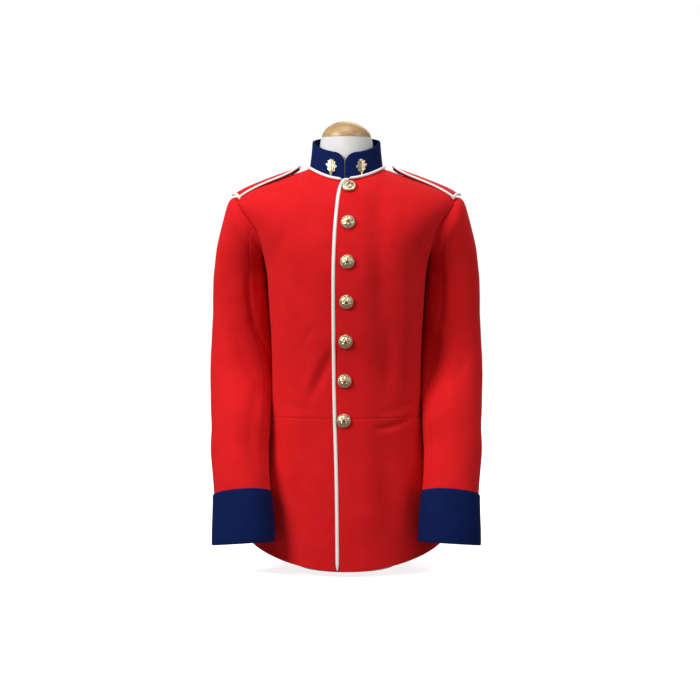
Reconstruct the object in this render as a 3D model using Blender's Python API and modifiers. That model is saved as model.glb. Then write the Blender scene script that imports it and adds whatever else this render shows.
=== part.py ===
"""A ceremonial tunic on a limbless dress form, all sizes in millimetres until they are built.

The frame has +Z up, the wearer's front towards -Y and the wearer's left towards +X. The origin is
the centre of the stand's underside. Round the body the angle is 0 at the centre front, 90 degrees
at the wearer's left side and 180 degrees at the centre back.
"""

import math

import bmesh
import bpy
import numpy as np
from mathutils import Matrix, Vector

MM = 0.001

# Cloth and seams. A seam that slants across its rings is drawn wider, by SLANTED_SEAM times.
CLOTH = 2.0
SEAM = 0.3
SLANTED_SEAM = 1.8
QUARTER = math.pi / 2

# The inside of the cloth, ring by ring from the hem to the neck seam
TORSO_COLUMNS = (
    "level", "z_front", "z_side", "z_back", "half_width", "depth_front", "depth_back", "power",
)
TORSO = (
    (0.0, 12, 48, 32, 177.0, 147, 140, 2.05),
    (1.0, 130, 148, 138, 160.0, 133, 124, 2.10),
    (2.0, 215, 220, 216, 147.0, 121, 110, 2.20),
    (3.0, 281, 279, 281, 139.5, 114, 101, 2.30),
    (4.0, 352, 352, 352, 135.0, 110, 97, 2.30),
    (5.0, 430, 431, 430, 137.5, 116, 103, 2.35),
    (6.0, 505, 515, 510, 142.5, 122, 111, 2.35),
    (7.0, 560, 574, 572, 152.0, 123, 114, 2.35),
    (8.0, 612, 632, 632, 182.0, 115, 110, 2.30),
    (9.0, 655, 677, 682, 199.0, 100, 103, 2.05),
    (10.0, 686, 707, 720, 133.0, 84, 88, 2.00),
    (11.0, 706, 730, 736, 67.0, 63, 60, 2.00),
)
MM_PER_LEVEL = 70.0
HEM_LEVEL = 0.0
WAIST_LEVEL = 3.0
ARMPIT_LEVEL = 7.0
TIP_LEVEL = 9.0
NECK_LEVEL = 11.0
SKIRT_ROWS = 6
BODICE_ROWS = 8
ARMHOLE_ROWS = 10
SHOULDER_ROWS = 5
PANEL_COLUMNS = 10

# The armhole is an oval on that surface, this far each way from the side
ARMHOLE_REACH = math.radians(24)
ARMHOLE_SEAT = 0.98

# The front that laps over: the level and x of its piping's middle, and how far it stands off
FRONT_EDGE = (
    (0.0, -15.0), (1.5, -18.5), (3.0, -22.5), (5.0, -24.0), (8.0, -22.5), (9.0, -19.0),
    (10.0, -14.5), (10.6, -9.0), (11.0, -4.5),
)
PIPING_HALF_WIDTH = 3.0
PIPING_HALF_HEIGHT = 2.2
PIPING_ROWS = 9
PIPING_TOP_LEVEL = 10.86
PIPING_SIDES = 6
UNDERLAP_X = 30.0
LAP_EASE_X = 70.0
LAP_EASE_CLEAR = 2.0

# The largest soft troughs of the fronts: middle, half length, half width, slope and depth
TROUGH_COLUMNS = ("x", "z", "half_length", "half_width", "lean_degrees", "depth")
FRONT_TROUGHS = (
    (-44, 358, 48, 14, -26, 3.0),
    (62, 400, 95, 26, -6, 3.0),
    (-82, 500, 70, 24, 8, 1.6),
)

# The sleeve, ring by ring from the armhole to the wrist, for the wearer's left. Its inner side is
# turned back behind the body by inner_back, and seam_degrees is where its two seams run.
SLEEVE_COLUMNS = (
    "level", "outer_x", "outer_z", "inner_x", "inner_z", "centre_y", "half_depth", "inner_back",
    "lean_degrees", "seam_degrees", "armhole_share",
)
SLEEVE = (
    (0.0, 200.0, 679, 157.0, 573, 0, 55.0, 0, 0, 94, 1.0),
    (1.0, 209.0, 681, 158.5, 572, 0, 57.0, 0, 0, 98, 0.55),
    (2.0, 218.0, 673, 158.5, 570, 0, 58.5, 0, 0, 102, 0.20),
    (3.0, 223.5, 655, 157.5, 567, 0, 59.0, 3, 0, 106, 0.05),
    (4.0, 229.0, 631, 152.6, 562, 3, 58.5, 10, 0, 109, 0.0),
    (5.0, 237.0, 600, 149.8, 553, 8, 58.0, 14, 0, 111, 0.0),
    (6.0, 243.5, 565, 146.7, 537, 14, 57.0, 16, 0, 112, 0.0),
    (7.0, 247.0, 522, 143.5, 512, 18, 56.0, 16, 0, 112, 0.0),
    (8.0, 249.0, 476, 140.2, 470, 20, 55.0, 15, 0, 113, 0.0),
    (9.0, 251.0, 431, 138.2, 428, 18, 53.5, 16, 3, 119, 0.0),
    (10.0, 252.5, 389, 137.2, 386, 10, 52.0, 18, 8, 130, 0.0),
    (11.0, 251.5, 345, 138.4, 345, -4, 51.0, 15, 15, 139, 0.0),
    (12.0, 250.5, 303, 139.4, 303, -23, 50.0, -6, 21, 143, 0.0),
    (13.0, 248.0, 262, 139.6, 262, -46, 49.0, -6, 23, 143, 0.0),
    (14.0, 247.0, 222, 140.6, 222, -66, 48.0, 0, 24, 142, 0.0),
    (15.0, 243.0, 184, 139.2, 184, -86, 46.0, 0, 23, 141, 0.0),
    (16.0, 237.5, 142, 135.5, 149, -106, 44.0, 0, 19, 140, 0.0),
    (17.0, 237.0, 98, 132.0, 105, -123, 43.0, 0, 14, 140, 0.0),
    (18.0, 237.5, 57, 129.0, 64, -135, 42.0, 0, 8, 140, 0.0),
)
TOP_SLEEVE_COLUMNS = 12
UNDER_SLEEVE_COLUMNS = 5
CUFF_LEVELS = (16.0, 17.0, 18.0)
CUFF_CLEAR = 0.5
CUFF_COLUMNS = 32
SLEEVE_TROUGH_COLUMNS = ("level", "half_levels", "angle_degrees", "half_degrees", "depth")
SLEEVE_TROUGHS = (
    (8.8, 2.6, 118, 22, 3.0),
    (10.6, 0.9, 60, 60, 2.0),
    (12.6, 0.8, 120, 50, 2.4),
)

# The collar, from its base to its top edge
COLLAR_COLUMNS = (
    "level", "z_front", "z_side", "z_back", "half_width", "depth_front", "depth_back", "power",
    "dip",
)
COLLAR = (
    (0.0, 708.5, 732.5, 738.5, 65.0, 61.0, 58.0, 2.0, 2.0),
    (0.5, 733.5, 757.0, 766.0, 62.0, 57.0, 55.0, 2.0, 1.5),
    (1.0, 757.5, 782.0, 793.0, 60.0, 54.0, 53.0, 2.0, 1.1),
)
COLLAR_CORNER_SHARES = (0.0, 0.075, 0.25, 0.55, 1.0)
COLLAR_HEIGHT = 50.0
COLLAR_CORNER = 20.0
COLLAR_CENTRE_X = -3.0
COLLAR_SLIT = 1.2
COLLAR_ROWS = 4
COLLAR_COLUMN_COUNT = 28
NECK_PIPING_RADIUS = 2.5
NECK_PIPING_LEVEL = 10.985
NECK_PIPING_CLEAR = 0.35
NECK_PIPING_POINTS = 41
NECK_PIPING_END = 4.0

# A leaf badge on each side of the collar
BADGE_X = 27.0
BADGE_HEIGHT = 30.0
BADGE_WIDTH = 22.0
BADGE_THICK = 1.6
BADGE_CROWN = 0.6
BADGE_FOOT = 0.09
BADGE_POINTS = 14

# Shoulder straps, from the sleeve seam towards the collar
STRAP_COLUMNS = ("share", "x", "y", "half_width", "thick", "tilt_degrees", "skew")
STRAP = (
    (0.00, 204.0, -5.0, 27.0, 3.2, 14.0, 8.0),
    (0.15, 192.0, -4.0, 27.0, 3.8, 10.0, 6.0),
    (0.50, 150.0, 0.0, 26.0, 5.5, 5.0, 3.0),
    (0.85, 104.0, 4.0, 25.0, 6.0, 2.0, 0.0),
    (0.95, 92.0, 5.0, 19.0, 6.0, 1.0, 0.0),
    (1.00, 86.0, 5.5, 9.0, 6.0, 0.5, 0.0),
)
# The height of a strap's underside along its middle, by x
STRAP_RIDGE = (
    (84.0, 731.4), (92.0, 728.1), (104.0, 723.4), (130.0, 714.0), (150.0, 706.7), (165.0, 701.2),
    (180.0, 695.2), (192.0, 689.4), (204.0, 682.3), (214.0, 677.0),
)
STRAP_SHARES = (0.0, 0.12, 0.28, 0.46, 0.64, 0.80, 0.90, 0.96, 1.0)
STRAP_ACROSS = 4
STRAP_DROOP = 0.006
STRAP_PIPING_HALF_WIDTH = 2.6
STRAP_PIPING_HALF_HEIGHT = 1.0
STRAP_PIPING_INSET = 3.0
STRAP_PIPING_CLEAR = 0.5
STRAP_PIPING_SIDES = 6

# Buttons down the front, a pitch apart along the cloth
BUTTON_COUNT = 7
BUTTON_FIRST_LEVEL = 2.94
BUTTON_PITCH = 71.0
BUTTON_LOW_X = -4.5
BUTTON_HIGH_X = 4.5
BUTTON_PROFILE = ((0.0, 8.6), (4.6, 8.1), (8.6, 6.6), (11.4, 4.4), (12.75, 2.6), (12.3, 1.8),
                  (3.2, 1.5), (3.2, 0.0), (0.0, 0.0))
BUTTON_STEPS = 12

# The dress form, hip to waist, then inside the cloth, then the neck
FORM_COLUMNS = ("z", "half_width", "depth_front", "depth_back", "power")
FORM_HIP = (
    (92, 96, 78, 72, 2.0),
    (95, 118, 98, 92, 2.1),
    (103, 134, 110, 103, 2.15),
    (118, 143, 116, 109, 2.2),
    (150, 148, 118, 110, 2.2),
    (200, 142, 113, 103, 2.25),
    (250, 135, 108, 96, 2.3),
)
FORM_INSET_LEVEL = 3.3
FORM_INSET = ((3.4, 5.0), (7.0, 5.0), (8.0, 4.5), (9.0, 2.2), (9.8, 0.6), (11.0, 0.5))
FORM_NECK_COLUMNS = (
    "z_front", "z_side", "z_back", "half_width", "depth_front", "depth_back",
)
FORM_NECK = (
    (710, 733, 739, 61.0, 56.5, 54.5),
    (721, 742, 748, 54.0, 50.5, 49.5),
    (742, 759, 763, 50.0, 48.5, 47.5),
    (765, 775, 777, 48.5, 48.0, 47.5),
    (792.6, 792.6, 792.6, 47.5, 47.5, 47.5),
)
CAP_HEIGHT = 27.0
CAP_EDGE = 4.0
CAP_RADIUS = 44.5
CAP_CHAMFER = 1.0
CAP_FOOT = 793.0
CAP_POINTS = 8
CAP_STEPS = 24
POST_RADIUS = 14.0
POST_STEPS = 16
BASE_RADIUS = 90.0
BASE_THICK = 14.0
BASE_CHAMFER = 5.0
BASE_STEPS = 32

# Colours, roughness and metallic value
MATERIALS = {
    "red_cloth": ((0.62, 0.020, 0.022), 0.75, 0.0),
    "navy_cloth": ((0.006, 0.014, 0.075), 0.80, 0.0),
    "white_cloth": ((0.80, 0.78, 0.74), 0.70, 0.0),
    "gilt": ((0.72, 0.58, 0.30), 0.30, 1.0),
    "jersey": ((0.78, 0.77, 0.75), 0.80, 0.0),
    "wood": ((0.55, 0.36, 0.17), 0.45, 0.0),
    "white_metal": ((0.75, 0.75, 0.74), 0.40, 0.0),
}


def smooth(places, values, at):
    """A smooth curve through the values at those places, read at any place between them."""
    places, values = np.asarray(places, float), np.asarray(values, float)
    steps = np.diff(values) / np.diff(places)
    slopes = np.concatenate([steps[:1], (steps[1:] + steps[:-1]) / 2, steps[-1:]])
    index = np.clip(np.searchsorted(places, at) - 1, 0, len(places) - 2)
    span = places[index + 1] - places[index]
    t = (at - places[index]) / span
    return (
        (1 + 2 * t) * (1 - t) ** 2 * values[index]
        + t * (1 - t) ** 2 * span * slopes[index]
        + t * t * (3 - 2 * t) * values[index + 1]
        + t * t * (t - 1) * span * slopes[index + 1]
    )


def columns_at(table, names, at):
    """Every column of a table after the first, as a dictionary, at a place in the first."""
    rows = np.asarray(table, float)
    return {
        name: smooth(rows[:, 0], rows[:, i], at) for i, name in enumerate(names) if i > 0
    }


def ease(x):
    """0 below 0, 1 above 1 and smooth between."""
    x = np.clip(x, 0, 1)
    return x * x * (3 - 2 * x)


def ring_point(row, angle):
    """A point of a ring that may be deeper, lower or squarer in front than behind."""
    sin, cos = np.sin(angle), np.cos(angle)
    share = 2 / row["power"]
    depth = np.where(cos > 0, row["depth_front"], row["depth_back"])
    end = np.where(cos > 0, row["z_front"], row["z_back"])
    x = row["half_width"] * np.sign(sin) * np.abs(sin) ** share
    y = -depth * np.sign(cos) * np.abs(cos) ** share
    z = row["z_side"] + (end - row["z_side"]) * np.abs(cos) ** row.get("dip", 2.0)
    return np.stack(np.broadcast_arrays(x, y, z), axis=-1)


def normals_of(surface, a, b):
    """Unit normals of surface(a, b), by the directions in which it runs."""
    step = 1e-3
    across = surface(a, b + step) - surface(a, b - step)
    along = surface(a + step, b) - surface(a - step, b)
    normal = np.cross(across, along)
    return normal / np.linalg.norm(normal, axis=-1, keepdims=True)


def trough(x, z):
    """How far the front's soft troughs sink in at x and z."""
    depth = 0.0
    for values in FRONT_TROUGHS:
        row = dict(zip(TROUGH_COLUMNS, values))
        lean = math.radians(row["lean_degrees"])
        dx, dz = x - row["x"], z - row["z"]
        along = (dz * math.cos(lean) - dx * math.sin(lean)) / row["half_length"]
        across = (dx * math.cos(lean) + dz * math.sin(lean)) / row["half_width"]
        depth = depth + row["depth"] * np.exp(-along**2 - across**2)
    return depth


def torso_surface(level, angle):
    level = np.clip(level, 0.0, NECK_LEVEL)
    return ring_point(columns_at(TORSO, TORSO_COLUMNS, level), angle)


def torso_point(level, angle, out=0.0):
    """A point of the body cloth, moved out along its normal and in by the troughs."""
    level, angle = np.broadcast_arrays(np.asarray(level, float), angle)
    inner_level = np.clip(level, 2e-3, NECK_LEVEL - 2e-3)
    normal = normals_of(torso_surface, inner_level, angle)
    point = torso_surface(level, angle)
    in_front = np.where(np.cos(angle) > 0, 1.0, 0.0) * ease(np.cos(angle) * 3)
    sunk = trough(point[..., 0], point[..., 2]) * in_front
    return point + normal * (out - sunk)[..., None]


def angle_for_x(level, x):
    """The angle in front at which a ring has that x."""
    row = columns_at(TORSO, TORSO_COLUMNS, level)
    share = np.clip(np.abs(x) / row["half_width"], 0, 1) ** (row["power"] / 2)
    return np.sign(x) * np.arcsin(share)


def seam_angle(surface, level, angle):
    """Half a seam's gap, as an angle at that place of a surface."""
    step = 1e-3
    reach = surface(level, angle + step) - surface(level, angle - step)
    return SEAM / 2 / (np.linalg.norm(reach, axis=-1) / (2 * step))


def piping_x(level):
    rows = np.asarray(FRONT_EDGE)
    return smooth(rows[:, 0], rows[:, 1], level)


def lap_raise(x):
    """How far the front that laps over stands off the one below."""
    share = (x - UNDERLAP_X - LAP_EASE_CLEAR) / (LAP_EASE_X - UNDERLAP_X)
    return (CLOTH + SEAM) * (1 - ease(share))


def bodice_levels():
    armhole = [
        (ARMPIT_LEVEL + TIP_LEVEL) / 2
        - (TIP_LEVEL - ARMPIT_LEVEL) / 2 * math.cos(math.pi * i / ARMHOLE_ROWS)
        for i in range(ARMHOLE_ROWS + 1)
    ]
    lower = np.linspace(WAIST_LEVEL, ARMPIT_LEVEL, BODICE_ROWS + 1)[:-1]
    upper = np.linspace(TIP_LEVEL, NECK_LEVEL, SHOULDER_ROWS + 1)[1:]
    return np.concatenate([lower, armhole, upper])


def skirt_levels():
    return np.linspace(HEM_LEVEL, WAIST_LEVEL, SKIRT_ROWS + 1)


def side_reach(levels):
    """How far the armhole cuts into a panel, as an angle from the side."""
    middle = (ARMPIT_LEVEL + TIP_LEVEL) / 2
    half = (TIP_LEVEL - ARMPIT_LEVEL) / 2
    inside = np.clip(1 - ((levels - middle) / half) ** 2, 0, 1)
    return ARMHOLE_REACH * np.sqrt(inside)


def panel_angles(levels, where):
    """The angles of a panel's columns, one row for each level, from its lower angle to its higher."""
    share = np.arange(PANEL_COLUMNS + 1) / PANEL_COLUMNS
    side = (QUARTER - side_reach(levels) - seam_angle(torso_surface, levels, QUARTER))[:, None]
    if where.startswith("back"):
        centre_gap = seam_angle(torso_surface, levels, math.pi)[:, None]
        angles = math.pi - side + (side - centre_gap) * share
        return angles if where == "back_left" else -angles[:, ::-1]
    quarter = share * side
    if where == "front_left":
        edge = angle_for_x(levels, piping_x(levels) + PIPING_HALF_WIDTH + SEAM)[:, None]
        return np.concatenate([edge, edge / 2, quarter], axis=1)
    return np.concatenate([-quarter[:, ::-1], quarter[:, 1:2]], axis=1)


def shell(name, inner, outer, material, wraps=False):
    """A closed wall between two grids of points, open or joined round its columns."""
    rows, columns = outer.shape[:2]
    mesh = bmesh.new()
    grids = [
        [[mesh.verts.new(Vector(p) * MM) for p in row] for row in grid] for grid in (inner, outer)
    ]
    last = columns if wraps else columns - 1
    for r in range(rows - 1):
        for c in range(last):
            n = (c + 1) % columns
            for grid, way in ((grids[0], -1), (grids[1], 1)):
                face = [grid[r][c], grid[r][n], grid[r + 1][n], grid[r + 1][c]]
                mesh.faces.new(face[::way])
    for c in range(last):
        n = (c + 1) % columns
        mesh.faces.new([grids[0][0][c], grids[0][0][n], grids[1][0][n], grids[1][0][c]])
        mesh.faces.new([grids[1][-1][c], grids[1][-1][n], grids[0][-1][n], grids[0][-1][c]])
    if not wraps:
        for r in range(rows - 1):
            mesh.faces.new([grids[1][r][0], grids[1][r + 1][0], grids[0][r + 1][0], grids[0][r][0]])
            mesh.faces.new(
                [grids[0][r][-1], grids[0][r + 1][-1], grids[1][r + 1][-1], grids[1][r][-1]]
            )
    return finish(name, mesh, material)


def solid_rings(name, rings, material, closed_path=False):
    """A closed solid through rings of points, with flat ends unless its path is a loop."""
    mesh = bmesh.new()
    grid = [[mesh.verts.new(Vector(p) * MM) for p in ring] for ring in rings]
    count = len(grid[0])
    pairs = list(zip(grid, grid[1:]))
    if closed_path:
        pairs.append((grid[-1], grid[0]))
    for low, high in pairs:
        for c in range(count):
            n = (c + 1) % count
            mesh.faces.new([low[c], low[n], high[n], high[c]])
    if not closed_path:
        mesh.faces.new(grid[0][::-1])
        mesh.faces.new(grid[-1])
    return finish(name, mesh, material)


def finish(name, mesh, material):
    """Makes a bmesh into a named object of this part, its faces outwards."""
    bmesh.ops.triangulate(mesh, faces=[f for f in mesh.faces if len(f.verts) > 4])
    bmesh.ops.recalc_face_normals(mesh, faces=mesh.faces)
    data = bpy.data.meshes.new(name)
    mesh.to_mesh(data)
    mesh.free()
    data.shade_smooth()
    data.set_sharp_from_angle(angle=math.radians(40))
    return add_object(name, data, material)


def add_object(name, data, material):
    made = bpy.data.objects.new(name, data)
    made.data.materials.append(bpy.data.materials[material])
    bpy.data.collections["ceremonial_tunic"].objects.link(made)
    return made


def turned(name, profile, steps, material):
    """A solid turned about Z from a profile of (radius, height), top to bottom on its outer side."""
    data = bpy.data.meshes.new(name)
    points = [(r * MM, 0, z * MM) for r, z in profile]
    data.from_pydata(points, [(i, i + 1) for i in range(len(points) - 1)], [])
    made = add_object(name, data, material)
    screw = made.modifiers.new("turn", "SCREW")
    screw.steps = screw.render_steps = steps
    screw.use_merge_vertices = True
    screw.merge_threshold = 1e-5
    screw.use_smooth_shade = True
    return made


def build_materials():
    for name, (colour, roughness, metallic) in MATERIALS.items():
        material = bpy.data.materials.new(name)
        material.use_nodes = True
        shader = material.node_tree.nodes["Principled BSDF"]
        shader.inputs["Base Color"].default_value = (*colour, 1)
        shader.inputs["Roughness"].default_value = roughness
        shader.inputs["Metallic"].default_value = metallic


def seam_levels(levels, low_gap, high_gap):
    """Levels whose first and last are drawn in by half a seam."""
    drawn = np.array(levels, float)
    drawn[0] += low_gap / MM_PER_LEVEL
    drawn[-1] -= high_gap / MM_PER_LEVEL
    return drawn


def build_panels():
    half_seam = SEAM / 2
    parts = (
        ("", seam_levels(bodice_levels(), half_seam, 0)),
        ("skirt_", seam_levels(skirt_levels(), 0, half_seam)),
    )
    for prefix, levels in parts:
        for where in ("front_left", "front_right", "back_left", "back_right"):
            angles = panel_angles(levels, where)
            rows = levels[:, None]
            raised = 0.0
            if where == "front_left":
                raised = lap_raise(torso_surface(rows, angles)[..., 0])
            inner = torso_point(rows, angles, raised)
            outer = torso_point(rows, angles, raised + CLOTH)
            shell(prefix + where, inner, outer, "red_cloth")


def armhole(angle, out):
    """The seat of the sleeve: 0 at the shoulder tip, 90 degrees in front, 180 at the armpit."""
    middle = (ARMPIT_LEVEL + TIP_LEVEL) / 2
    half = (TIP_LEVEL - ARMPIT_LEVEL) / 2 * ARMHOLE_SEAT
    level = middle + half * np.cos(angle)
    return torso_point(level, QUARTER - ARMHOLE_REACH * ARMHOLE_SEAT * np.sin(angle), out)


def sleeve_surface(level, angle):
    """The outside of the wearer's left sleeve: 0 on its outer side, 90 degrees in front."""
    level, angle = np.broadcast_arrays(np.asarray(level, float), angle)
    row = columns_at(SLEEVE, SLEEVE_COLUMNS, np.clip(level, 0, SLEEVE[-1][0]))
    lean = np.radians(row["lean_degrees"])
    across = np.cos(angle)
    forward = np.sin(angle) * row["half_depth"]
    x = (row["outer_x"] + row["inner_x"]) / 2 + (row["outer_x"] - row["inner_x"]) / 2 * across
    y = row["centre_y"] + row["inner_back"] * (1 - across) / 2 - forward * np.cos(lean)
    z = (row["outer_z"] + row["inner_z"]) / 2 + (row["outer_z"] - row["inner_z"]) / 2 * across
    z = z + forward * np.sin(lean)
    ring = np.stack(np.broadcast_arrays(x, y, z), axis=-1)
    share = np.clip(row["armhole_share"], 0, 1)[..., None]
    return share * armhole(angle, CLOTH) + (1 - share) * ring


def sleeve_trough(level, angle):
    depth = 0.0
    for values in SLEEVE_TROUGHS:
        row = dict(zip(SLEEVE_TROUGH_COLUMNS, values))
        along = (level - row["level"]) / row["half_levels"]
        across = (np.degrees(angle) - row["angle_degrees"]) / row["half_degrees"]
        depth = depth + row["depth"] * np.exp(-along**2 - across**2)
    return depth


def sleeve_point(level, angle, out=0.0):
    """A point of the left sleeve moved out along its normal, out counted from its outside."""
    level, angle = np.broadcast_arrays(np.asarray(level, float), angle)
    inside = np.clip(level, 2e-3, SLEEVE[-1][0] - 2e-3)
    normal = normals_of(sleeve_surface, inside, angle)
    sunk = sleeve_trough(level, angle)
    return sleeve_surface(level, angle) + normal * (out - sunk)[..., None]


def mirrored(points, side):
    return points * np.array([side, 1.0, 1.0])


def build_sleeves():
    levels = np.array([row[0] for row in SLEEVE])
    seam = np.radians(columns_at(SLEEVE, SLEEVE_COLUMNS, levels)["seam_degrees"])
    gap = seam_angle(sleeve_surface, levels, seam) * SLANTED_SEAM
    front = (seam - gap)[:, None]
    under_start = (seam + gap)[:, None]
    top_share = np.linspace(-1, 1, TOP_SLEEVE_COLUMNS + 1)
    under_share = np.linspace(0, 1, UNDER_SLEEVE_COLUMNS + 1)
    pieces = (
        ("top_sleeve", front * top_share),
        ("under_sleeve", under_start + (2 * math.pi - 2 * under_start) * under_share),
    )
    cuff_levels = np.array(CUFF_LEVELS)[:, None]
    around = 2 * math.pi * np.arange(CUFF_COLUMNS)[None, :] / CUFF_COLUMNS
    for side, word in ((1, "left"), (-1, "right")):
        for name, angles in pieces:
            rows = levels[:, None]
            inner = mirrored(sleeve_point(rows, angles, -CLOTH), side)
            outer = mirrored(sleeve_point(rows, angles), side)
            shell(f"{name}_{word}", inner, outer, "red_cloth")
        inner = mirrored(sleeve_point(cuff_levels, around, CUFF_CLEAR), side)
        outer = mirrored(sleeve_point(cuff_levels, around, CUFF_CLEAR + CLOTH), side)
        shell(f"cuff_{word}", inner, outer, "navy_cloth", wraps=True)


def collar_surface(level, angle):
    return ring_point(columns_at(COLLAR, COLLAR_COLUMNS, level), angle)


def collar_point(level, angle, out=0.0):
    level, angle = np.broadcast_arrays(np.asarray(level, float), angle)
    normal = normals_of(collar_surface, np.clip(level, 2e-3, 1 - 2e-3), angle)
    return collar_surface(level, angle) + normal * np.asarray(out)[..., None]


def collar_start():
    return math.asin(COLLAR_CENTRE_X / COLLAR[0][4])


def collar_angles():
    """The angles round the collar, closer together where its front corners are round."""
    radius = COLLAR[0][4]
    near = np.array(COLLAR_CORNER_SHARES) * COLLAR_CORNER / radius
    start = collar_start() + COLLAR_SLIT / 2 / radius
    end = collar_start() + 2 * math.pi - COLLAR_SLIT / 2 / radius
    between = COLLAR_COLUMN_COUNT - 2 * len(near) + 3
    middle = np.linspace(start + near[-1], end - near[-1], between)[1:-1]
    return np.concatenate([start + near, middle, end - near[::-1]]), start, end


def build_collar():
    angles, start, end = collar_angles()
    radius = COLLAR[0][4]
    from_end = np.minimum(angles - start, end - angles) * radius
    inset = np.clip(COLLAR_CORNER - from_end, 0, COLLAR_CORNER)
    drop = COLLAR_CORNER - np.sqrt(COLLAR_CORNER**2 - inset**2)
    top = 1 - drop / COLLAR_HEIGHT
    levels = np.linspace(0, 1, COLLAR_ROWS + 1)[:, None] * top[None, :]
    inner = collar_point(levels, angles[None, :])
    outer = collar_point(levels, angles[None, :], CLOTH)
    shell("collar", inner, outer, "navy_cloth")


def tube_rings(path, sideways, upwards, half_width, half_height, sides):
    """Oval rings about each point of a path, from unit directions across it and off the cloth."""
    turn = 2 * math.pi * np.arange(sides) / sides
    return [
        [p + s * half_width * math.cos(t) + u * half_height * math.sin(t) for t in turn]
        for p, s, u in zip(path, sideways, upwards)
    ]


def build_neck_piping():
    _, start, end = collar_angles()
    radius = COLLAR[0][4]
    angles = np.linspace(start, end - NECK_PIPING_END / radius, NECK_PIPING_POINTS)
    level = np.full_like(angles, NECK_PIPING_LEVEL)
    x = torso_surface(level, angles)[:, 0]
    raised = np.where(angles < QUARTER, lap_raise(x), 0.0)
    out = raised + CLOTH + NECK_PIPING_CLEAR + NECK_PIPING_RADIUS
    path = torso_point(level, angles, out)
    normal = torso_point(level, angles, 1.0) - torso_point(level, angles, 0.0)
    along = np.gradient(path, axis=0)
    along /= np.linalg.norm(along, axis=1, keepdims=True)
    across = np.cross(along, normal)
    across /= np.linalg.norm(across, axis=1, keepdims=True)
    rings = tube_rings(
        path, across, normal, NECK_PIPING_RADIUS, NECK_PIPING_RADIUS, PIPING_SIDES
    )
    solid_rings("neck_piping", rings, "white_cloth")


def build_front_piping():
    low_levels = np.linspace(HEM_LEVEL, WAIST_LEVEL, PIPING_ROWS)
    levels = np.concatenate([low_levels, bodice_levels()[1:-1], [PIPING_TOP_LEVEL]])
    angles = angle_for_x(levels, piping_x(levels))
    height = CLOTH + SEAM + PIPING_HALF_HEIGHT
    path = torso_point(levels, angles, height)
    normal = torso_point(levels, angles, height + 1.0) - path
    along = np.gradient(path, axis=0)
    across = np.cross(along, normal)
    across /= np.linalg.norm(across, axis=1, keepdims=True)
    rings = tube_rings(
        path, across, normal, PIPING_HALF_WIDTH, PIPING_HALF_HEIGHT, PIPING_SIDES
    )
    solid_rings("front_piping", rings, "white_cloth")


def ridge_height(x):
    rows = np.asarray(STRAP_RIDGE)
    return smooth(rows[:, 0], rows[:, 1], x)


def strap_point(share, across, up=0.0):
    """A point of the left strap's underside, or that far up through its thickness.

    share runs from the sleeve seam inwards, across from -1 in front, and up to 1 at its top.
    """
    row = columns_at(STRAP, STRAP_COLUMNS, share)
    x = row["x"] + row["skew"] * across
    y = across * row["half_width"]
    tilt = np.radians(row["tilt_degrees"])
    z = ridge_height(x) + y * np.tan(tilt) - STRAP_DROOP * y * y
    return np.stack(np.broadcast_arrays(x, row["y"] + y, z + up * row["thick"]), axis=-1)


def strap_rim(shares, across):
    """The share and the place across of points round a strap, its piping's inset inside its edge."""
    half_width = columns_at(STRAP, STRAP_COLUMNS, shares)["half_width"]
    reach = 1 - STRAP_PIPING_INSET / half_width
    front = list(zip(shares, -reach))
    inner_end = [(shares[-1], a * reach[-1]) for a in across[1:-1]]
    back = list(zip(shares[::-1], reach[::-1]))
    outer_end = [(shares[0], a * reach[0]) for a in across[::-1][1:-1]]
    return np.array(front + inner_end + back + outer_end)


def build_straps():
    shares = np.array(STRAP_SHARES)
    across = np.linspace(-1, 1, STRAP_ACROSS + 1)
    grid_share, grid_across = np.meshgrid(shares, across, indexing="ij")
    low = strap_point(grid_share, grid_across)
    high = strap_point(grid_share, grid_across, 1.0)
    inset_share = STRAP_PIPING_INSET / (STRAP[0][1] - STRAP[-1][1])
    rim = strap_rim(np.clip(shares, inset_share, 1 - inset_share), across)
    top = strap_point(rim[:, 0], rim[:, 1], 1.0)
    up = -normals_of(lambda a, b: strap_point(a, b, 1.0), rim[:, 0], rim[:, 1])
    up *= np.sign(up[:, 2:])
    path = top + up * (STRAP_PIPING_HALF_HEIGHT + STRAP_PIPING_CLEAR)
    along = np.roll(path, -1, axis=0) - np.roll(path, 1, axis=0)
    across_path = np.cross(along, up)
    across_path /= np.linalg.norm(across_path, axis=1, keepdims=True)
    for side, word in ((1, "left"), (-1, "right")):
        shell(f"shoulder_strap_{word}", mirrored(low, side), mirrored(high, side), "red_cloth")
        rings = tube_rings(
            mirrored(path, side), mirrored(across_path, side), mirrored(up, side),
            STRAP_PIPING_HALF_WIDTH, STRAP_PIPING_HALF_HEIGHT, STRAP_PIPING_SIDES,
        )
        solid_rings(f"strap_piping_{word}", rings, "white_cloth", closed_path=True)


def button_levels():
    """The level of each button, from the lowest up, a pitch apart along the front."""
    levels = np.linspace(BUTTON_FIRST_LEVEL, NECK_LEVEL - 0.05, 800)
    line = torso_point(levels, np.zeros_like(levels), CLOTH)
    walked = np.concatenate([[0], np.cumsum(np.linalg.norm(np.diff(line, axis=0), axis=1))])
    return np.interp(BUTTON_PITCH * np.arange(BUTTON_COUNT), walked, levels)


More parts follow.
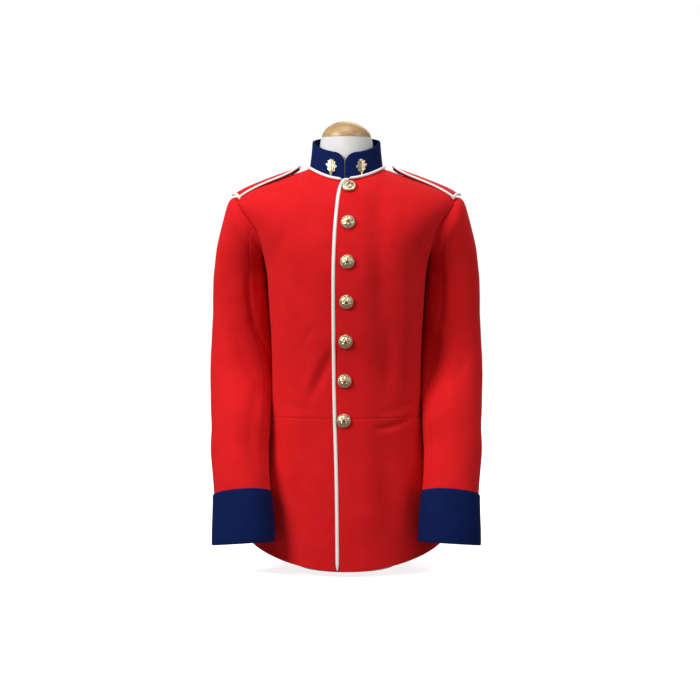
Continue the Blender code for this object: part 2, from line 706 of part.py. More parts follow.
def build_buttons():
    for i, level in enumerate(button_levels()):
        share = i / (BUTTON_COUNT - 1)
        x = BUTTON_LOW_X + (BUTTON_HIGH_X - BUTTON_LOW_X) * share
        angle = angle_for_x(np.array([level]), np.array([x]))
        height = CLOTH * 2 + SEAM * 2
        foot = torso_point(np.array([level]), angle, height)[0]
        normal = Vector(torso_point(np.array([level]), angle, height + 1)[0] - foot)
        button = turned(f"button_{i + 1}", BUTTON_PROFILE, BUTTON_STEPS, "gilt")
        turn = normal.to_track_quat("Z", "Y").to_matrix().to_4x4()
        button.matrix_world = Matrix.Translation(Vector(foot) * MM) @ turn


def leaf_half_width(share):
    """Half the width of an upright lobed leaf, from its stem at 0 to its tip at 1."""
    stem = 1.3
    body = np.sin(np.pi * np.clip((share - 0.16) / 0.84, 0, 1)) ** 0.8
    lobes = 0.80 + 0.20 * np.cos(6 * np.pi * (share - 0.16) / 0.84 + np.pi)
    return stem + (BADGE_WIDTH / 2 - stem) * body * lobes


def build_badges():
    shares = np.linspace(0, 1, BADGE_POINTS + 1)
    half = leaf_half_width(shares)
    across = np.linspace(-1, 1, 5)
    radius = COLLAR[0][4]
    height = BADGE_HEIGHT / COLLAR_HEIGHT
    levels = (BADGE_FOOT + height * shares)[:, None] * np.ones_like(across)
    for side, word in ((1, "left"), (-1, "right")):
        centre = math.asin(side * BADGE_X / radius)
        angles = centre + half[:, None] * across[None, :] / radius
        inner = collar_point(levels, angles, CLOTH + SEAM)
        crown = BADGE_CROWN * (1 - across**2) * np.ones_like(levels)
        outer = collar_point(levels, angles, CLOTH + SEAM + BADGE_THICK + crown)
        shell(f"collar_badge_{word}", inner, outer, "gilt")


def form_rings():
    """The rings of the dress form from its flat underside to the top of its neck."""
    around = np.linspace(0, 2 * math.pi, 4 * PANEL_COLUMNS + 1)[:-1]
    rings = []
    for values in FORM_HIP:
        row = dict(zip(FORM_COLUMNS, values))
        row["z_front"] = row["z_side"] = row["z_back"] = row["z"]
        rings.append(ring_point(row, around))
    insets = np.asarray(FORM_INSET)
    levels = bodice_levels()
    for level in levels[levels > FORM_INSET_LEVEL]:
        inset = float(np.interp(level, insets[:, 0], insets[:, 1]))
        rings.append(torso_point(np.full_like(around, level), around, -inset))
    for values in FORM_NECK:
        row = dict(zip(FORM_NECK_COLUMNS, values))
        row["power"] = 2.0
        rings.append(ring_point(row, around))
    return rings


def build_form():
    solid_rings("form_torso", form_rings(), "jersey")
    dome = [(0.0, CAP_FOOT + CAP_HEIGHT)]
    for i in range(1, CAP_POINTS):
        angle = QUARTER * (1 - i / (CAP_POINTS - 1))
        radius = CAP_RADIUS * math.cos(angle) ** 0.85
        height = CAP_EDGE + (CAP_HEIGHT - CAP_EDGE) * math.sin(angle) ** 0.9
        dome.append((radius, CAP_FOOT + height))
    dome += [(CAP_RADIUS - CAP_CHAMFER, CAP_FOOT), (0.0, CAP_FOOT)]
    turned("form_cap", dome, CAP_STEPS, "wood")
    post_foot = BASE_THICK + SEAM
    post_top = FORM_HIP[0][0] - SEAM
    post = ((0, post_top), (POST_RADIUS, post_top), (POST_RADIUS, post_foot), (0, post_foot))
    turned("form_post", post, POST_STEPS, "white_metal")
    base = (
        (0, BASE_THICK), (BASE_RADIUS - BASE_CHAMFER, BASE_THICK),
        (BASE_RADIUS, BASE_THICK - BASE_CHAMFER), (BASE_RADIUS, 0), (0, 0),
    )
    turned("form_base", base, BASE_STEPS, "white_metal")


def main():
    for old in list(bpy.data.objects):
        bpy.data.objects.remove(old, do_unlink=True)
    collection = bpy.data.collections.new("ceremonial_tunic")
    bpy.context.scene.collection.children.link(collection)
    build_materials()
    build_panels()
    build_sleeves()
    build_collar()
    build_neck_piping()
    build_front_piping()
    build_straps()
    build_buttons()
    build_badges()
    build_form()


main()
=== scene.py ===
"""A ceremonial tunic on a limbless dress form, seen from the front in a pale studio.

All sizes are in millimetres until a mesh is made. The frame has +Z up, the wearer's front towards
-Y and the wearer's left towards +X. Round the body the angle is 0 at the centre front, 90 degrees
at the wearer's left side and 180 degrees at the centre back.
"""

import math

import bmesh
import bpy
import numpy as np
from mathutils import Matrix, Vector

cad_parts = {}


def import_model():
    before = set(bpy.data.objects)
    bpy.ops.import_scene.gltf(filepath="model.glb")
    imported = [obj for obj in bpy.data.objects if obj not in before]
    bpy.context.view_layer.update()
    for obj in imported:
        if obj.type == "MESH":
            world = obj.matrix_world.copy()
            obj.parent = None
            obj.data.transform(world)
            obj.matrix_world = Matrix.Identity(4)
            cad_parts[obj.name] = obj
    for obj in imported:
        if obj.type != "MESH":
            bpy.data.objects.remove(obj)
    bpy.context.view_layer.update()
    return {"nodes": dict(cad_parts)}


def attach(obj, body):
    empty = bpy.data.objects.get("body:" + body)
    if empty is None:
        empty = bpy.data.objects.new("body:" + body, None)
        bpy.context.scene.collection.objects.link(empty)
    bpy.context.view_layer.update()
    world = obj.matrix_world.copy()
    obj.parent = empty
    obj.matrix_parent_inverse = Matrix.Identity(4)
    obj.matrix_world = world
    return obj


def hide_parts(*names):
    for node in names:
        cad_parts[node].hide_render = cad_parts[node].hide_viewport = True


MM = 0.001
QUARTER = math.pi / 2

# Steps in level and angle at which normals are read, and how far they keep from a surface's ends
NORMAL_STEP = 2e-3
NORMAL_MARGIN = 4e-3

# Cloth and seams
CLOTH = 2.0
SEAM = 0.3
SEAM_ROLL = 0.5
SEAM_ROLL_WIDTH = 2.8
EDGE_BULGE = 0.7
SHARP_DEGREES = 50.0

# A cord's sides, and the sizes of the last rings at its rounded ends
TUBE_SIDES = 12
TUBE_TIP = (0.25, 0.72, 0.93)

# The inside of the body cloth, ring by ring from the hem to the neck seam
RING_COLUMNS = (
    "level", "z_front", "z_side", "z_back", "half_width", "depth_front", "depth_back", "power",
    "dip",
)
TORSO = (
    (0.0, 12, 48, 32, 177.0, 147, 140, 2.05, 2),
    (1.0, 130, 148, 138, 160.0, 133, 124, 2.10, 2),
    (2.0, 215, 220, 216, 147.0, 121, 110, 2.20, 2),
    (3.0, 281, 279, 281, 139.5, 114, 101, 2.30, 2),
    (4.0, 352, 352, 352, 135.0, 110, 97, 2.30, 2),
    (5.0, 430, 431, 430, 137.5, 116, 103, 2.35, 2),
    (6.0, 505, 515, 510, 142.5, 122, 111, 2.35, 2),
    (7.0, 560, 574, 572, 152.0, 123, 114, 2.35, 2),
    (8.0, 612, 632, 632, 182.0, 115, 110, 2.30, 2),
    (9.0, 655, 677, 682, 199.0, 100, 103, 2.05, 2),
    (10.0, 686, 707, 720, 133.0, 84, 88, 2.00, 2),
    (11.0, 706, 730, 736, 67.0, 63, 60, 2.00, 2),
)
HEM_LEVEL = 0.0
WAIST_LEVEL = 3.0
ARMPIT_LEVEL = 7.0
TIP_LEVEL = 9.0
NECK_LEVEL = 11.0
MM_PER_LEVEL = 70.0
ARMHOLE_MIDDLE = (ARMPIT_LEVEL + TIP_LEVEL) / 2
ARMHOLE_HALF = (TIP_LEVEL - ARMPIT_LEVEL) / 2

# The rows nearest to the waist seam and to the hem, in levels from them
WAIST_NEAR = np.array([0.0, 0.012, 0.03, 0.055])
HEM_NEAR = np.array([0.0, 0.006, 0.015, 0.035])

# How many places each stretch of a grid has
ARMHOLE_ROWS = 46
BODICE_ROWS = 76
SHOULDER_ROWS = 34
SKIRT_ROWS = 76
PANEL_COLUMNS = 62
SLEEVE_HEAD_ROWS = 50
SLEEVE_ARM_ROWS = 190
TOP_SLEEVE_COLUMNS = 84
UNDER_SLEEVE_COLUMNS = 50
CUFF_ROWS = 30
COLLAR_ROWS = 30
COLLAR_COLUMNS = 180
STRAP_ROWS = 70
STRAP_COLUMN_COUNT = 22
STRAP_PIPING_PLACES = 170
ROUND_PLACES = 128

# The armhole is an oval on the body cloth, this far each way from the side. The sleeve's seat
# is that oval made slightly larger, so that no light shows between the two.
ARMHOLE_REACH = math.radians(24)
ARMHOLE_SEAT = 1.010

# The front that laps over: where the middle of its piping runs, and how far it stands off
FRONT_EDGE = (
    (0.0, -15.5), (1.5, -17.5), (3.0, -20.5), (5.0, -22.5), (8.0, -20.5), (9.0, -17.0),
    (10.0, -12.5), (10.6, -8.0), (11.0, -4.0),
)
PIPING_HALF_WIDTH = 3.1
PIPING_HALF_HEIGHT = 2.2
PIPING_COVERS = 0.8
UNDERLAP_X = 30.0
UNDERLAP_REACH = 22.0
LAP_EASE_X = 70.0

# The sleeve, ring by ring from the armhole to the wrist, for the wearer's left. Its inner side is
# turned back behind the body by inner_back, and seam_degrees is where its two seams run.
SLEEVE_COLUMNS = (
    "level", "outer_x", "outer_z", "inner_x", "inner_z", "centre_y", "half_depth", "inner_back",
    "lean_degrees", "seam_degrees", "armhole_share",
)
SLEEVE = (
    (0.0, 200.0, 679, 157.0, 573, 0, 55.0, 0, 0, 94, 1.0),
    (1.0, 209.0, 681, 154.5, 572, 0, 57.0, 0, 0, 98, 0.55),
    (2.0, 218.0, 673, 153.5, 570, 0, 58.5, 0, 0, 102, 0.20),
    (3.0, 223.5, 655, 152.5, 567, 0, 59.0, 3, 0, 106, 0.05),
    (4.0, 229.0, 631, 150.8, 562, 3, 58.5, 10, 0, 109, 0.0),
    (5.0, 237.0, 600, 148.6, 553, 8, 58.0, 14, 0, 111, 0.0),
    (6.0, 243.5, 565, 145.9, 537, 14, 57.0, 16, 0, 112, 0.0),
    (7.0, 247.0, 522, 143.5, 512, 18, 56.0, 16, 0, 112, 0.0),
    (8.0, 249.0, 476, 140.2, 470, 20, 55.0, 15, 0, 113, 0.0),
    (9.0, 251.0, 431, 138.2, 428, 18, 53.5, 16, 3, 119, 0.0),
    (10.0, 252.5, 389, 135.6, 386, 10, 52.0, 18, 8, 130, 0.0),
    (11.0, 251.5, 345, 135.8, 345, -4, 51.0, 15, 15, 139, 0.0),
    (12.0, 250.5, 303, 136.8, 303, -23, 50.0, -2, 21, 143, 0.0),
    (13.0, 248.0, 262, 138.4, 262, -46, 49.0, -6, 23, 143, 0.0),
    (14.0, 247.0, 222, 140.6, 222, -66, 48.0, 0, 24, 142, 0.0),
    (15.0, 243.0, 184, 139.2, 184, -86, 46.0, 0, 23, 141, 0.0),
    (16.0, 237.5, 142, 135.5, 149, -106, 44.0, 0, 19, 140, 0.0),
    (17.0, 237.0, 98, 132.0, 105, -123, 43.0, 0, 14, 140, 0.0),
    (18.0, 237.5, 57, 129.0, 64, -135, 42.0, 0, 8, 140, 0.0),
)
SLEEVE_HEAD_LEVEL = 4.0
SLEEVE_HELD_LEVELS = 1.2
WRIST_LEVEL = 18.0
CUFF_TOP_LEVEL = 16.0
CUFF_CLEAR = 0.5
CUFF_FOLD = 0.9
CUFF_FOLD_WIDTH = 2.0

# The collar, from its base to its top edge
COLLAR = (
    (0.0, 708.5, 732.5, 738.5, 65.0, 61.0, 58.0, 2.0, 2.0),
    (0.5, 733.5, 757.0, 766.0, 62.0, 57.0, 55.0, 2.0, 1.5),
    (1.0, 757.5, 782.0, 793.0, 60.0, 54.0, 53.0, 2.0, 1.1),
)
COLLAR_HEIGHT = 50.0
COLLAR_CORNER = 20.0
COLLAR_NEAR = (0.0, 0.5, 1.2, 2.2, 3.6, 5.4, 7.6, 10.2, 13.2, 16.4, COLLAR_CORNER)
COLLAR_CENTRE_X = -3.0
COLLAR_SLIT = 1.6
COLLAR_CLOTH = 2.4
COLLAR_FOLD = 0.8
COLLAR_FOLD_WIDTH = 1.8
COLLAR_RADIUS = COLLAR[0][4]
NECK_PIPING_RADIUS = 2.5
NECK_PIPING_LEVEL = 10.985
NECK_PIPING_CLEAR = 0.35
NECK_LAP_FROM = math.radians(20)
NECK_LAP_OVER = math.radians(60)
NECK_PIPING_START = 7.0
NECK_PIPING_END = 4.5

# A leaf badge on each side of the collar
BADGE_X = 27.0
BADGE_HEIGHT = 30.0
BADGE_WIDTH = 22.0
BADGE_THICK = 1.6
BADGE_SHELL = 1.4
BADGE_FOOT = 0.09
LEAF_STEM = 1.3
LEAF_STEM_SHARE = 0.16
LEAF_LOBES = 3

# Shoulder straps, from the sleeve seam towards the collar
STRAP_COLUMNS = ("share", "x", "y", "half_width", "thick", "tilt_degrees", "skew")
STRAP = (
    (0.00, 204.0, -5.0, 27.0, 3.2, 17.0, 8.0),
    (0.15, 192.0, -4.0, 27.0, 3.8, 14.0, 6.0),
    (0.50, 150.0, 0.0, 26.0, 5.5, 8.5, 3.0),
    (0.85, 104.0, 4.0, 25.0, 6.0, 4.0, 0.0),
    (0.95, 92.0, 5.0, 19.0, 6.0, 1.0, 0.0),
    (1.00, 86.0, 5.5, 9.0, 6.0, 0.5, 0.0),
)
# The height of a strap's underside along its middle, by x
STRAP_RIDGE = (
    (84.0, 731.4), (92.0, 728.1), (104.0, 723.4), (130.0, 714.0), (150.0, 706.7), (165.0, 701.2),
    (180.0, 695.2), (192.0, 689.4), (204.0, 682.3), (214.0, 677.0),
)
STRAP_DROOP = 0.006
STRAP_FOLD = 0.8
STRAP_FOLD_WIDTH = 1.6
STRAP_PIPING_HALF_WIDTH = 2.4
STRAP_PIPING_HALF_HEIGHT = 1.9
STRAP_PIPING_INSET = 0.8
STRAP_PIPING_SUNK = 0.2
STRAP_END_REACH = 5.0
# Strap faces that slope less upwards than this get the darker red of painted shade, standing in for
# the shade on a strap's edge and underside
STRAP_PAINTED_SHADE_SLOPE = 0.3
STRAP_PAINTED_SHADE_SLOT = 1
STRAP_END_SLOT = 2

# Buttons down the front, a pitch apart along the cloth
BUTTON_COUNT = 7
BUTTON_RADIUS = 12.75
BUTTON_FIRST_LEVEL = 2.94
BUTTON_PITCH = 71.0
BUTTON_LOW_X = -4.5
BUTTON_HIGH_X = 4.5
BUTTON_SPIN = math.radians(37)
BUTTON_SIDES = 96

# The face of a button, by its radii and heights
BUTTON_EDGE = 2.6
BUTTON_DOME = 5.0
PETALS = 8
PETAL_FOOT = 3.4
PETAL_TIP = 8.2
PETAL_HIGH = 0.75
BOSS_RADIUS = 2.2
RING_RADIUS = 9.5
ROPE_RADIUS = 11.3
ROPE_STRANDS = 36

# The back of a button and its shank: radius and height of each ring
BUTTON_BACK = ((12.6, 2.1), (12.1, 1.75), (10.5, 1.6), (3.2, 1.5), (3.2, 0.05))

# The dress form, hip to waist, then inside the cloth, then the neck
FORM_COLUMNS = ("z", "half_width", "depth_front", "depth_back", "power")
FORM_HIP = (
    (92, 96, 78, 72, 2.0),
    (95, 118, 98, 92, 2.1),
    (103, 134, 110, 103, 2.15),
    (118, 143, 116, 109, 2.2),
    (150, 148, 118, 110, 2.2),
    (200, 142, 113, 103, 2.25),
    (250, 135, 108, 96, 2.3),
)
# How far inside the body cloth the form lies, by level
FORM_INSET = ((3.4, 5.0), (7.0, 5.0), (8.0, 4.5), (9.0, 2.2), (9.8, 0.6), (11.0, 0.5))
FORM_HIP_RINGS = 40
FORM_WAIST_RINGS = 110
FORM_NECK_RINGS = 46
FORM_NECK_COLUMNS = (
    "z_front", "z_side", "z_back", "half_width", "depth_front", "depth_back",
)
FORM_NECK = (
    (710, 733, 739, 61.0, 56.5, 54.5),
    (721, 742, 748, 54.0, 50.5, 49.5),
    (742, 759, 763, 50.0, 48.5, 47.5),
    (765, 775, 777, 48.5, 48.0, 47.5),
    (788.0, 788.0, 788.0, 46.6, 46.6, 46.6),
)

# The wooden cap, a turned dome
CAP_FOOT = 788.5
CAP_TOP = 820.0
CAP_RADIUS = 45.0
CAP_POINTED = 1.2
CAP_SIDES = 96
CAP_RINGS = 25

# How a crease fades towards its ends
CREASE_TIP = 0.12
CREASE_FADE = 0.6

# Creases of the body: three points of each one's line at x and z, how wide it is and how deep.
# A negative depth is a ridge.
BODY_CREASE_COLUMNS = ("face", "x1", "z1", "x2", "z2", "x3", "z3", "half_width", "depth")
BODY_CREASES = (
    ("front", -22, 404, -42, 362, -62, 318, 10, 5.4),
    ("front", -48, 398, -62, 356, -78, 316, 11, -2.4),
    ("front", -60, 446, -68, 428, -78, 404, 8, 1.6),
    ("front", -82, 560, -78, 500, -92, 420, 22, 2.6),
    ("front", -46, 640, -52, 560, -44, 470, 24, -1.4),
    ("front", 56, 690, 60, 540, 66, 330, 22, 5.0),
    ("front", 74, 440, 78, 392, 72, 338, 14, 4.0),
    ("front", 104, 570, 106, 460, 100, 330, 17, -3.4),
    ("front", 128, 520, 124, 440, 112, 330, 13, 2.2),
    ("front", -122, 520, -118, 440, -108, 330, 13, 2.2),
    ("front", 52, 262, 90, 268, 126, 284, 6, 2.8),
    ("front", 56, 292, 92, 296, 122, 306, 8, 1.2),
    ("front", -60, 296, -92, 300, -122, 308, 8, 1.1),
    ("front", 14, 708, 30, 702, 47, 696, 5, 1.0),
    ("front", 92, 640, 116, 600, 134, 560, 15, 2.2),
    ("front", -92, 640, -116, 600, -134, 560, 15, 2.2),
    ("front", 62, 245, 78, 150, 90, 34, 24, 4.6),
    ("front", -66, 240, -80, 150, -98, 40, 20, 2.6),
    ("front", 118, 230, 134, 140, 150, 55, 18, -2.2),
    ("front", -118, 230, -134, 140, -150, 55, 18, -2.2),
    ("back", 40, 640, 44, 560, 30, 450, 26, 2.6),
    ("back", -46, 650, -50, 560, -34, 460, 24, 2.2),
    ("back", 96, 650, 104, 580, 88, 500, 16, 2.8),
    ("back", -98, 650, -108, 585, -92, 505, 16, 2.8),
    ("back", 30, 372, 58, 348, 96, 338, 9, 2.2),
    ("back", -34, 366, -60, 344, -98, 336, 9, 2.0),
    ("back", 24, 330, 60, 312, 104, 304, 8, 1.8),
    ("back", -20, 324, -62, 310, -100, 304, 8, 1.6),
    ("back", 44, 240, 56, 150, 66, 50, 20, 3.0),
    ("back", -48, 240, -60, 150, -72, 50, 22, 3.0),
    ("back", 100, 230, 118, 140, 132, 60, 18, -2.2),
    ("back", -104, 230, -120, 140, -136, 60, 18, -2.2),
)

# Creases of a sleeve: three points of each one's line by angle and level. Both sleeves have those
# of side 0, the wearer's left those of side 1 and the wearer's right those of side -1.
SLEEVE_CREASE_COLUMNS = (
    "side", "angle1", "level1", "angle2", "level2", "angle3", "level3", "half_width", "depth",
)
SLEEVE_CREASES = (
    (-1, 108, 6.3, 110, 7.6, 116, 8.8, 7, 3.6),
    (-1, 114, 8.4, 132, 9.3, 165, 10.9, 8, 3.8),
    (-1, 140, 5.8, 136, 7.2, 132, 8.6, 7, -2.4),
    (-1, 142, 8.9, 150, 9.3, 160, 9.6, 4, 1.6),
    (-1, 138, 9.6, 148, 9.9, 158, 10.4, 4, 1.4),
    (-1, 80, 9.0, 96, 10.2, 120, 11.4, 12, 2.2),
    (-1, 130, 11.4, 116, 13.0, 124, 15.2, 13, 2.8),
    (-1, 70, 12.2, 84, 13.6, 96, 15.4, 13, -1.6),
    (-1, 48, 10.2, 62, 11.2, 80, 12.0, 10, 1.4),
    (1, 112, 6.2, 110, 7.6, 112, 8.8, 7, 3.8),
    (1, 140, 6.0, 136, 7.4, 130, 9.0, 8, -2.6),
    (1, 118, 9.2, 130, 11.2, 126, 14.8, 15, 4.0),
    (1, 88, 9.6, 92, 11.6, 90, 14.6, 13, -1.8),
    (1, 60, 9.8, 74, 10.8, 96, 11.4, 10, 1.8),
    (1, 152, 9.4, 160, 10.2, 168, 11.0, 6, 2.0),
    (0, 150, 12.0, 158, 12.8, 172, 13.4, 7, 1.8),
    (0, 96, 2.2, 108, 3.6, 118, 5.4, 10, 1.8),
    (0, 74, 1.6, 82, 3.2, 88, 4.8, 9, 1.0),
    (0, -96, 2.2, -108, 3.8, -116, 5.6, 10, 2.0),
    (0, -70, 1.8, -78, 3.4, -84, 5.2, 9, 1.2),
    (0, -112, 6.2, -108, 8.0, -96, 9.8, 11, 2.6),
    (0, -84, 7.6, -74, 9.4, -60, 10.8, 12, -1.6),
    (0, -60, 9.4, -76, 10.8, -98, 11.8, 9, 2.0),
    (0, -62, 11.2, -80, 12.2, -104, 12.8, 9, 1.6),
    (0, -120, 12.2, -112, 13.6, -116, 15.4, 11, 2.4),
    (0, 16, 5.6, 14, 8.2, 4, 10.6, 18, 1.6),
    (0, -6, 11.0, 0, 13.0, 8, 15.4, 18, 1.6),
)

# How deep the shared creases are on the wearer's right sleeve, so that the two differ
RIGHT_SHARE = 0.85

# Linear colours: the two that each material varies between, and the tints of its nap
RED_DARK = (0.600, 0.0060, 0.0080)
RED_LIGHT = (0.740, 0.0120, 0.0150)
NAVY_DARK = (0.0012, 0.0065, 0.0600)
NAVY_LIGHT = (0.0030, 0.0130, 0.0850)
# Painted shade: the darker red of a strap's edge and underside, standing in for the shade that
# falls there
PAINTED_SHADE_DARK = (0.130, 0.0030, 0.0030)
PAINTED_SHADE_LIGHT = (0.190, 0.0050, 0.0050)
WHITE_DARK = (0.93, 0.90, 0.86)
WHITE_LIGHT = (0.97, 0.95, 0.91)
GILT_DARK = (0.50, 0.40, 0.23)
GILT_LIGHT = (0.80, 0.70, 0.48)
JERSEY_DARK = (0.72, 0.71, 0.70)
JERSEY_LIGHT = (0.80, 0.79, 0.78)
COAT_DARK = (0.72, 0.72, 0.71)
COAT_LIGHT = (0.79, 0.79, 0.78)
WOOD_DARK = (0.396, 0.232, 0.088)
WOOD_LIGHT = (0.568, 0.368, 0.163)
WOOD_FLECK = (0.24, 0.11, 0.05)
WOOD_GRAIN_STRETCH = (0.860, 5.600, 4.760)
WOOD_FLECK_STRETCH = (0.189, 0.800, 0.680)
RED_TINT = (1.0, 0.25, 0.25)
NAVY_TINT = (0.25, 0.4, 1.0)

# The colour sockets of a mix node, which have no names of their own
MIX_FIRST_COLOUR = 6
MIX_SECOND_COLOUR = 7
MIX_COLOUR_OUT = 2

# The camera: where it stands and what it is aimed at, in metres, and its lens in millimetres
CAMERA_PLACE = (0.0065, -3.10, 0.55)
CAMERA_AIM = (0.0065, 0.0, 0.398)
CAMERA_LENS = 86.3

# Lights, in metres and watts: place, what it is aimed at, size and power
LIGHT_COLUMNS = ("name", "place", "aim", "size", "watts")
LIGHTS = (
    ("key", (-1.85, -1.50, 1.85), (0.0, 0.0, 0.45), 1.1, 62.0),
    ("fill", (2.1, -1.30, 1.5), (0.0, 0.0, 0.45), 1.2, 15.0),
    ("top", (0.0, -0.5, 2.7), (0.0, 0.0, 0.60), 1.0, 16.0),
    ("rim", (0.6, 2.6, 2.2), (0.0, 0.0, 0.50), 1.8, 28.0),
)
AMBIENT = 0.24
BACKGROUND_GLOW = 1.0
FLOOR_GLOW = 0.80
STAGE_RADIUS = 24.0


def spline(places, values, at):
    """A curve through the values at those places, with no step in its slope or its bend."""
    x, y = np.asarray(places, float), np.asarray(values, float)
    gap = np.diff(x)
    count = len(x)
    matrix = np.eye(count)
    right = np.zeros(count)
    for i in range(1, count - 1):
        matrix[i, i - 1 : i + 2] = gap[i - 1], 2 * (gap[i - 1] + gap[i]), gap[i]
        right[i] = 6 * ((y[i + 1] - y[i]) / gap[i] - (y[i] - y[i - 1]) / gap[i - 1])
    bend = np.linalg.solve(matrix, right)
    i = np.clip(np.searchsorted(x, at) - 1, 0, count - 2)
    low, high = at - x[i], x[i + 1] - at
    return (
        (bend[i] * high**3 + bend[i + 1] * low**3) / (6 * gap[i])
        + (y[i] / gap[i] - bend[i] * gap[i] / 6) * high
        + (y[i + 1] / gap[i] - bend[i + 1] * gap[i] / 6) * low
    )


def columns_at(table, names, at):
    """Every column of a table after the first, as a dictionary, at a place in the first."""
    rows = np.asarray(table, float)
    return {name: spline(rows[:, 0], rows[:, i], at) for i, name in enumerate(names) if i > 0}


def ease(x):
    """0 below 0, 1 above 1 and smooth between."""
    x = np.clip(x, 0, 1)
    return x * x * (3 - 2 * x)


def unit(vectors):
    return vectors / np.maximum(np.linalg.norm(vectors, axis=-1, keepdims=True), 1e-9)


def walked_along(line):
    """The distance from the first point of a line to each of its points."""
    return np.concatenate([[0], np.cumsum(np.linalg.norm(np.diff(line, axis=0), axis=1))])


def spread(count, near=(0.0, 0.004, 0.012, 0.026)):
    """Shares from 0 to 1, closer together at both ends, where the seams are."""
    near = np.array(near)
    middle = np.linspace(near[-1], 1 - near[-1], count)[1:-1]
    return np.concatenate([near, middle, 1 - near[::-1]])


def all_round(count):
    """Angles once round, the last one just before the first."""
    return np.linspace(0, 2 * math.pi, count + 1)[:-1]


def ring_point(row, angle):
    """A point of a ring that may be deeper, lower or squarer in front than behind."""
    sin, cos = np.sin(angle), np.cos(angle)
    share = 2 / row["power"]
    depth = np.where(cos > 0, row["depth_front"], row["depth_back"])
    end = np.where(cos > 0, row["z_front"], row["z_back"])
    x = row["half_width"] * np.sign(sin) * np.abs(sin) ** share
    y = -depth * np.sign(cos) * np.abs(cos) ** share
    z = row["z_side"] + (end - row["z_side"]) * np.abs(cos) ** row["dip"]
    return np.stack(np.broadcast_arrays(x, y, z), axis=-1)


def normals_of(surface, a, b):
    """Unit normals of surface(a, b), by the directions in which it runs."""
    across = surface(a, b + NORMAL_STEP) - surface(a, b - NORMAL_STEP)
    along = surface(a + NORMAL_STEP, b) - surface(a - NORMAL_STEP, b)
    return unit(np.cross(across, along))


def torso_surface(level, angle):
    level = np.clip(level, 0.0, NECK_LEVEL)
    return ring_point(columns_at(TORSO, RING_COLUMNS, level), angle)


def angle_for_x(level, x):
    """The angle in front at which a ring has that x."""
    row = columns_at(TORSO, RING_COLUMNS, level)
    share = np.clip(np.abs(x) / row["half_width"], 0, 1) ** (row["power"] / 2)
    return np.sign(x) * np.arcsin(share)


def seam_angle(surface, level, angle):
    """Half a seam's gap, as an angle at that place."""
    step = 1e-3
    reach = surface(level, angle + step) - surface(level, angle - step)
    return SEAM / 2 / (np.linalg.norm(reach, axis=-1) / (2 * step))


def bent_line(first, middle, last, count=26):
    """Places along a curve that passes through three points."""
    first, middle, last = np.array(first), np.array(middle), np.array(last)
    t = np.linspace(0, 1, count)[:, None]
    control = 2 * middle - (first + last) / 2
    return (1 - t) ** 2 * first + 2 * t * (1 - t) * control + t * t * last


def body_crease_lines():
    """The line of each crease of the body in space, with its width and depth."""
    levels = np.linspace(0.02, NECK_LEVEL - 0.02, 400)
    found = []
    for values in BODY_CREASES:
        row = dict(zip(BODY_CREASE_COLUMNS, values))
        flat = bent_line((row["x1"], row["z1"]), (row["x2"], row["z2"]), (row["x3"], row["z3"]))
        line = []
        for x, z in flat:
            angles = angle_for_x(levels, np.full_like(levels, x))
            if row["face"] == "back":
                angles = math.pi - angles
            ring = torso_surface(levels, angles)
            line.append([np.interp(z, ring[:, 2], ring[:, i]) for i in range(2)] + [z])
        found.append((np.array(line), row["half_width"], row["depth"]))
    return found


def sleeve_crease_lines(side):
    found = []
    for values in SLEEVE_CREASES:
        row = dict(zip(SLEEVE_CREASE_COLUMNS, values))
        if row["side"] in (0, side):
            flat = bent_line(
                (row["angle1"], row["level1"]),
                (row["angle2"], row["level2"]),
                (row["angle3"], row["level3"]),
            )
            line = sleeve_surface(flat[:, 1], np.radians(flat[:, 0]))
            shared_on_right = side < 0 and row["side"] == 0
            depth = row["depth"] * (RIGHT_SHARE if shared_on_right else 1.0)
            found.append((line, row["half_width"], depth))
    return found


def crease_depth(points, lines):
    """How far a cloth is pushed in at each point by the creases whose lines pass near it."""
    depth = np.zeros(points.shape[:-1])
    for line, half_width, deep in lines:
        step = np.linalg.norm(np.diff(line, axis=0), axis=1).mean()
        fade = np.sin(np.linspace(CREASE_TIP, math.pi - CREASE_TIP, len(line))) ** CREASE_FADE
        gain = deep * step / (half_width * math.sqrt(math.pi))
        for place, share in zip(line, fade):
            away = ((points - place) ** 2).sum(axis=-1)
            depth += gain * share * np.exp(-away / half_width**2)
    return depth


def unevenness(points):
    """The slight waves that are left in pressed wool, in millimetres."""
    x, y, z = points[..., 0], points[..., 1], points[..., 2]
    return (
        0.40 * np.sin(x / 19.0 + 1.3) * np.sin(z / 31.0 + y / 27.0)
        + 0.30 * np.sin(z / 14.5 + 0.4) * np.sin(y / 17.0 - x / 33.0 + 2.0)
        + 0.22 * np.sin((x + z) / 11.0) * np.sin((z - y) / 23.0 + 0.7)
    )


def piping_x(level):
    return spline(*zip(*FRONT_EDGE), level)


def lap_raise(x):
    """How far the front that laps over stands off the one below."""
    return (CLOTH + SEAM) * (1 - ease((x - UNDERLAP_X - 2) / (LAP_EASE_X - UNDERLAP_X)))


def torso_point(level, angle, out, lines=()):
    """A point of the body cloth, moved out along its normal and in by the creases."""
    level, angle = np.broadcast_arrays(np.asarray(level, float), angle)
    inner_level = np.clip(level, NORMAL_MARGIN, NECK_LEVEL - NORMAL_MARGIN)
    normal = normals_of(torso_surface, inner_level, angle)
    point = torso_surface(level, angle)
    sunk = crease_depth(point, lines) + (unevenness(point) if lines else 0.0)
    return point + normal * (out - sunk)[..., None]


def armhole(angle, out):
    """The seat of the sleeve: 0 at the shoulder tip, 90 degrees in front, 180 at the armpit."""
    level = ARMHOLE_MIDDLE + ARMHOLE_HALF * ARMHOLE_SEAT * np.cos(angle)
    return torso_point(level, QUARTER - ARMHOLE_REACH * ARMHOLE_SEAT * np.sin(angle), out)


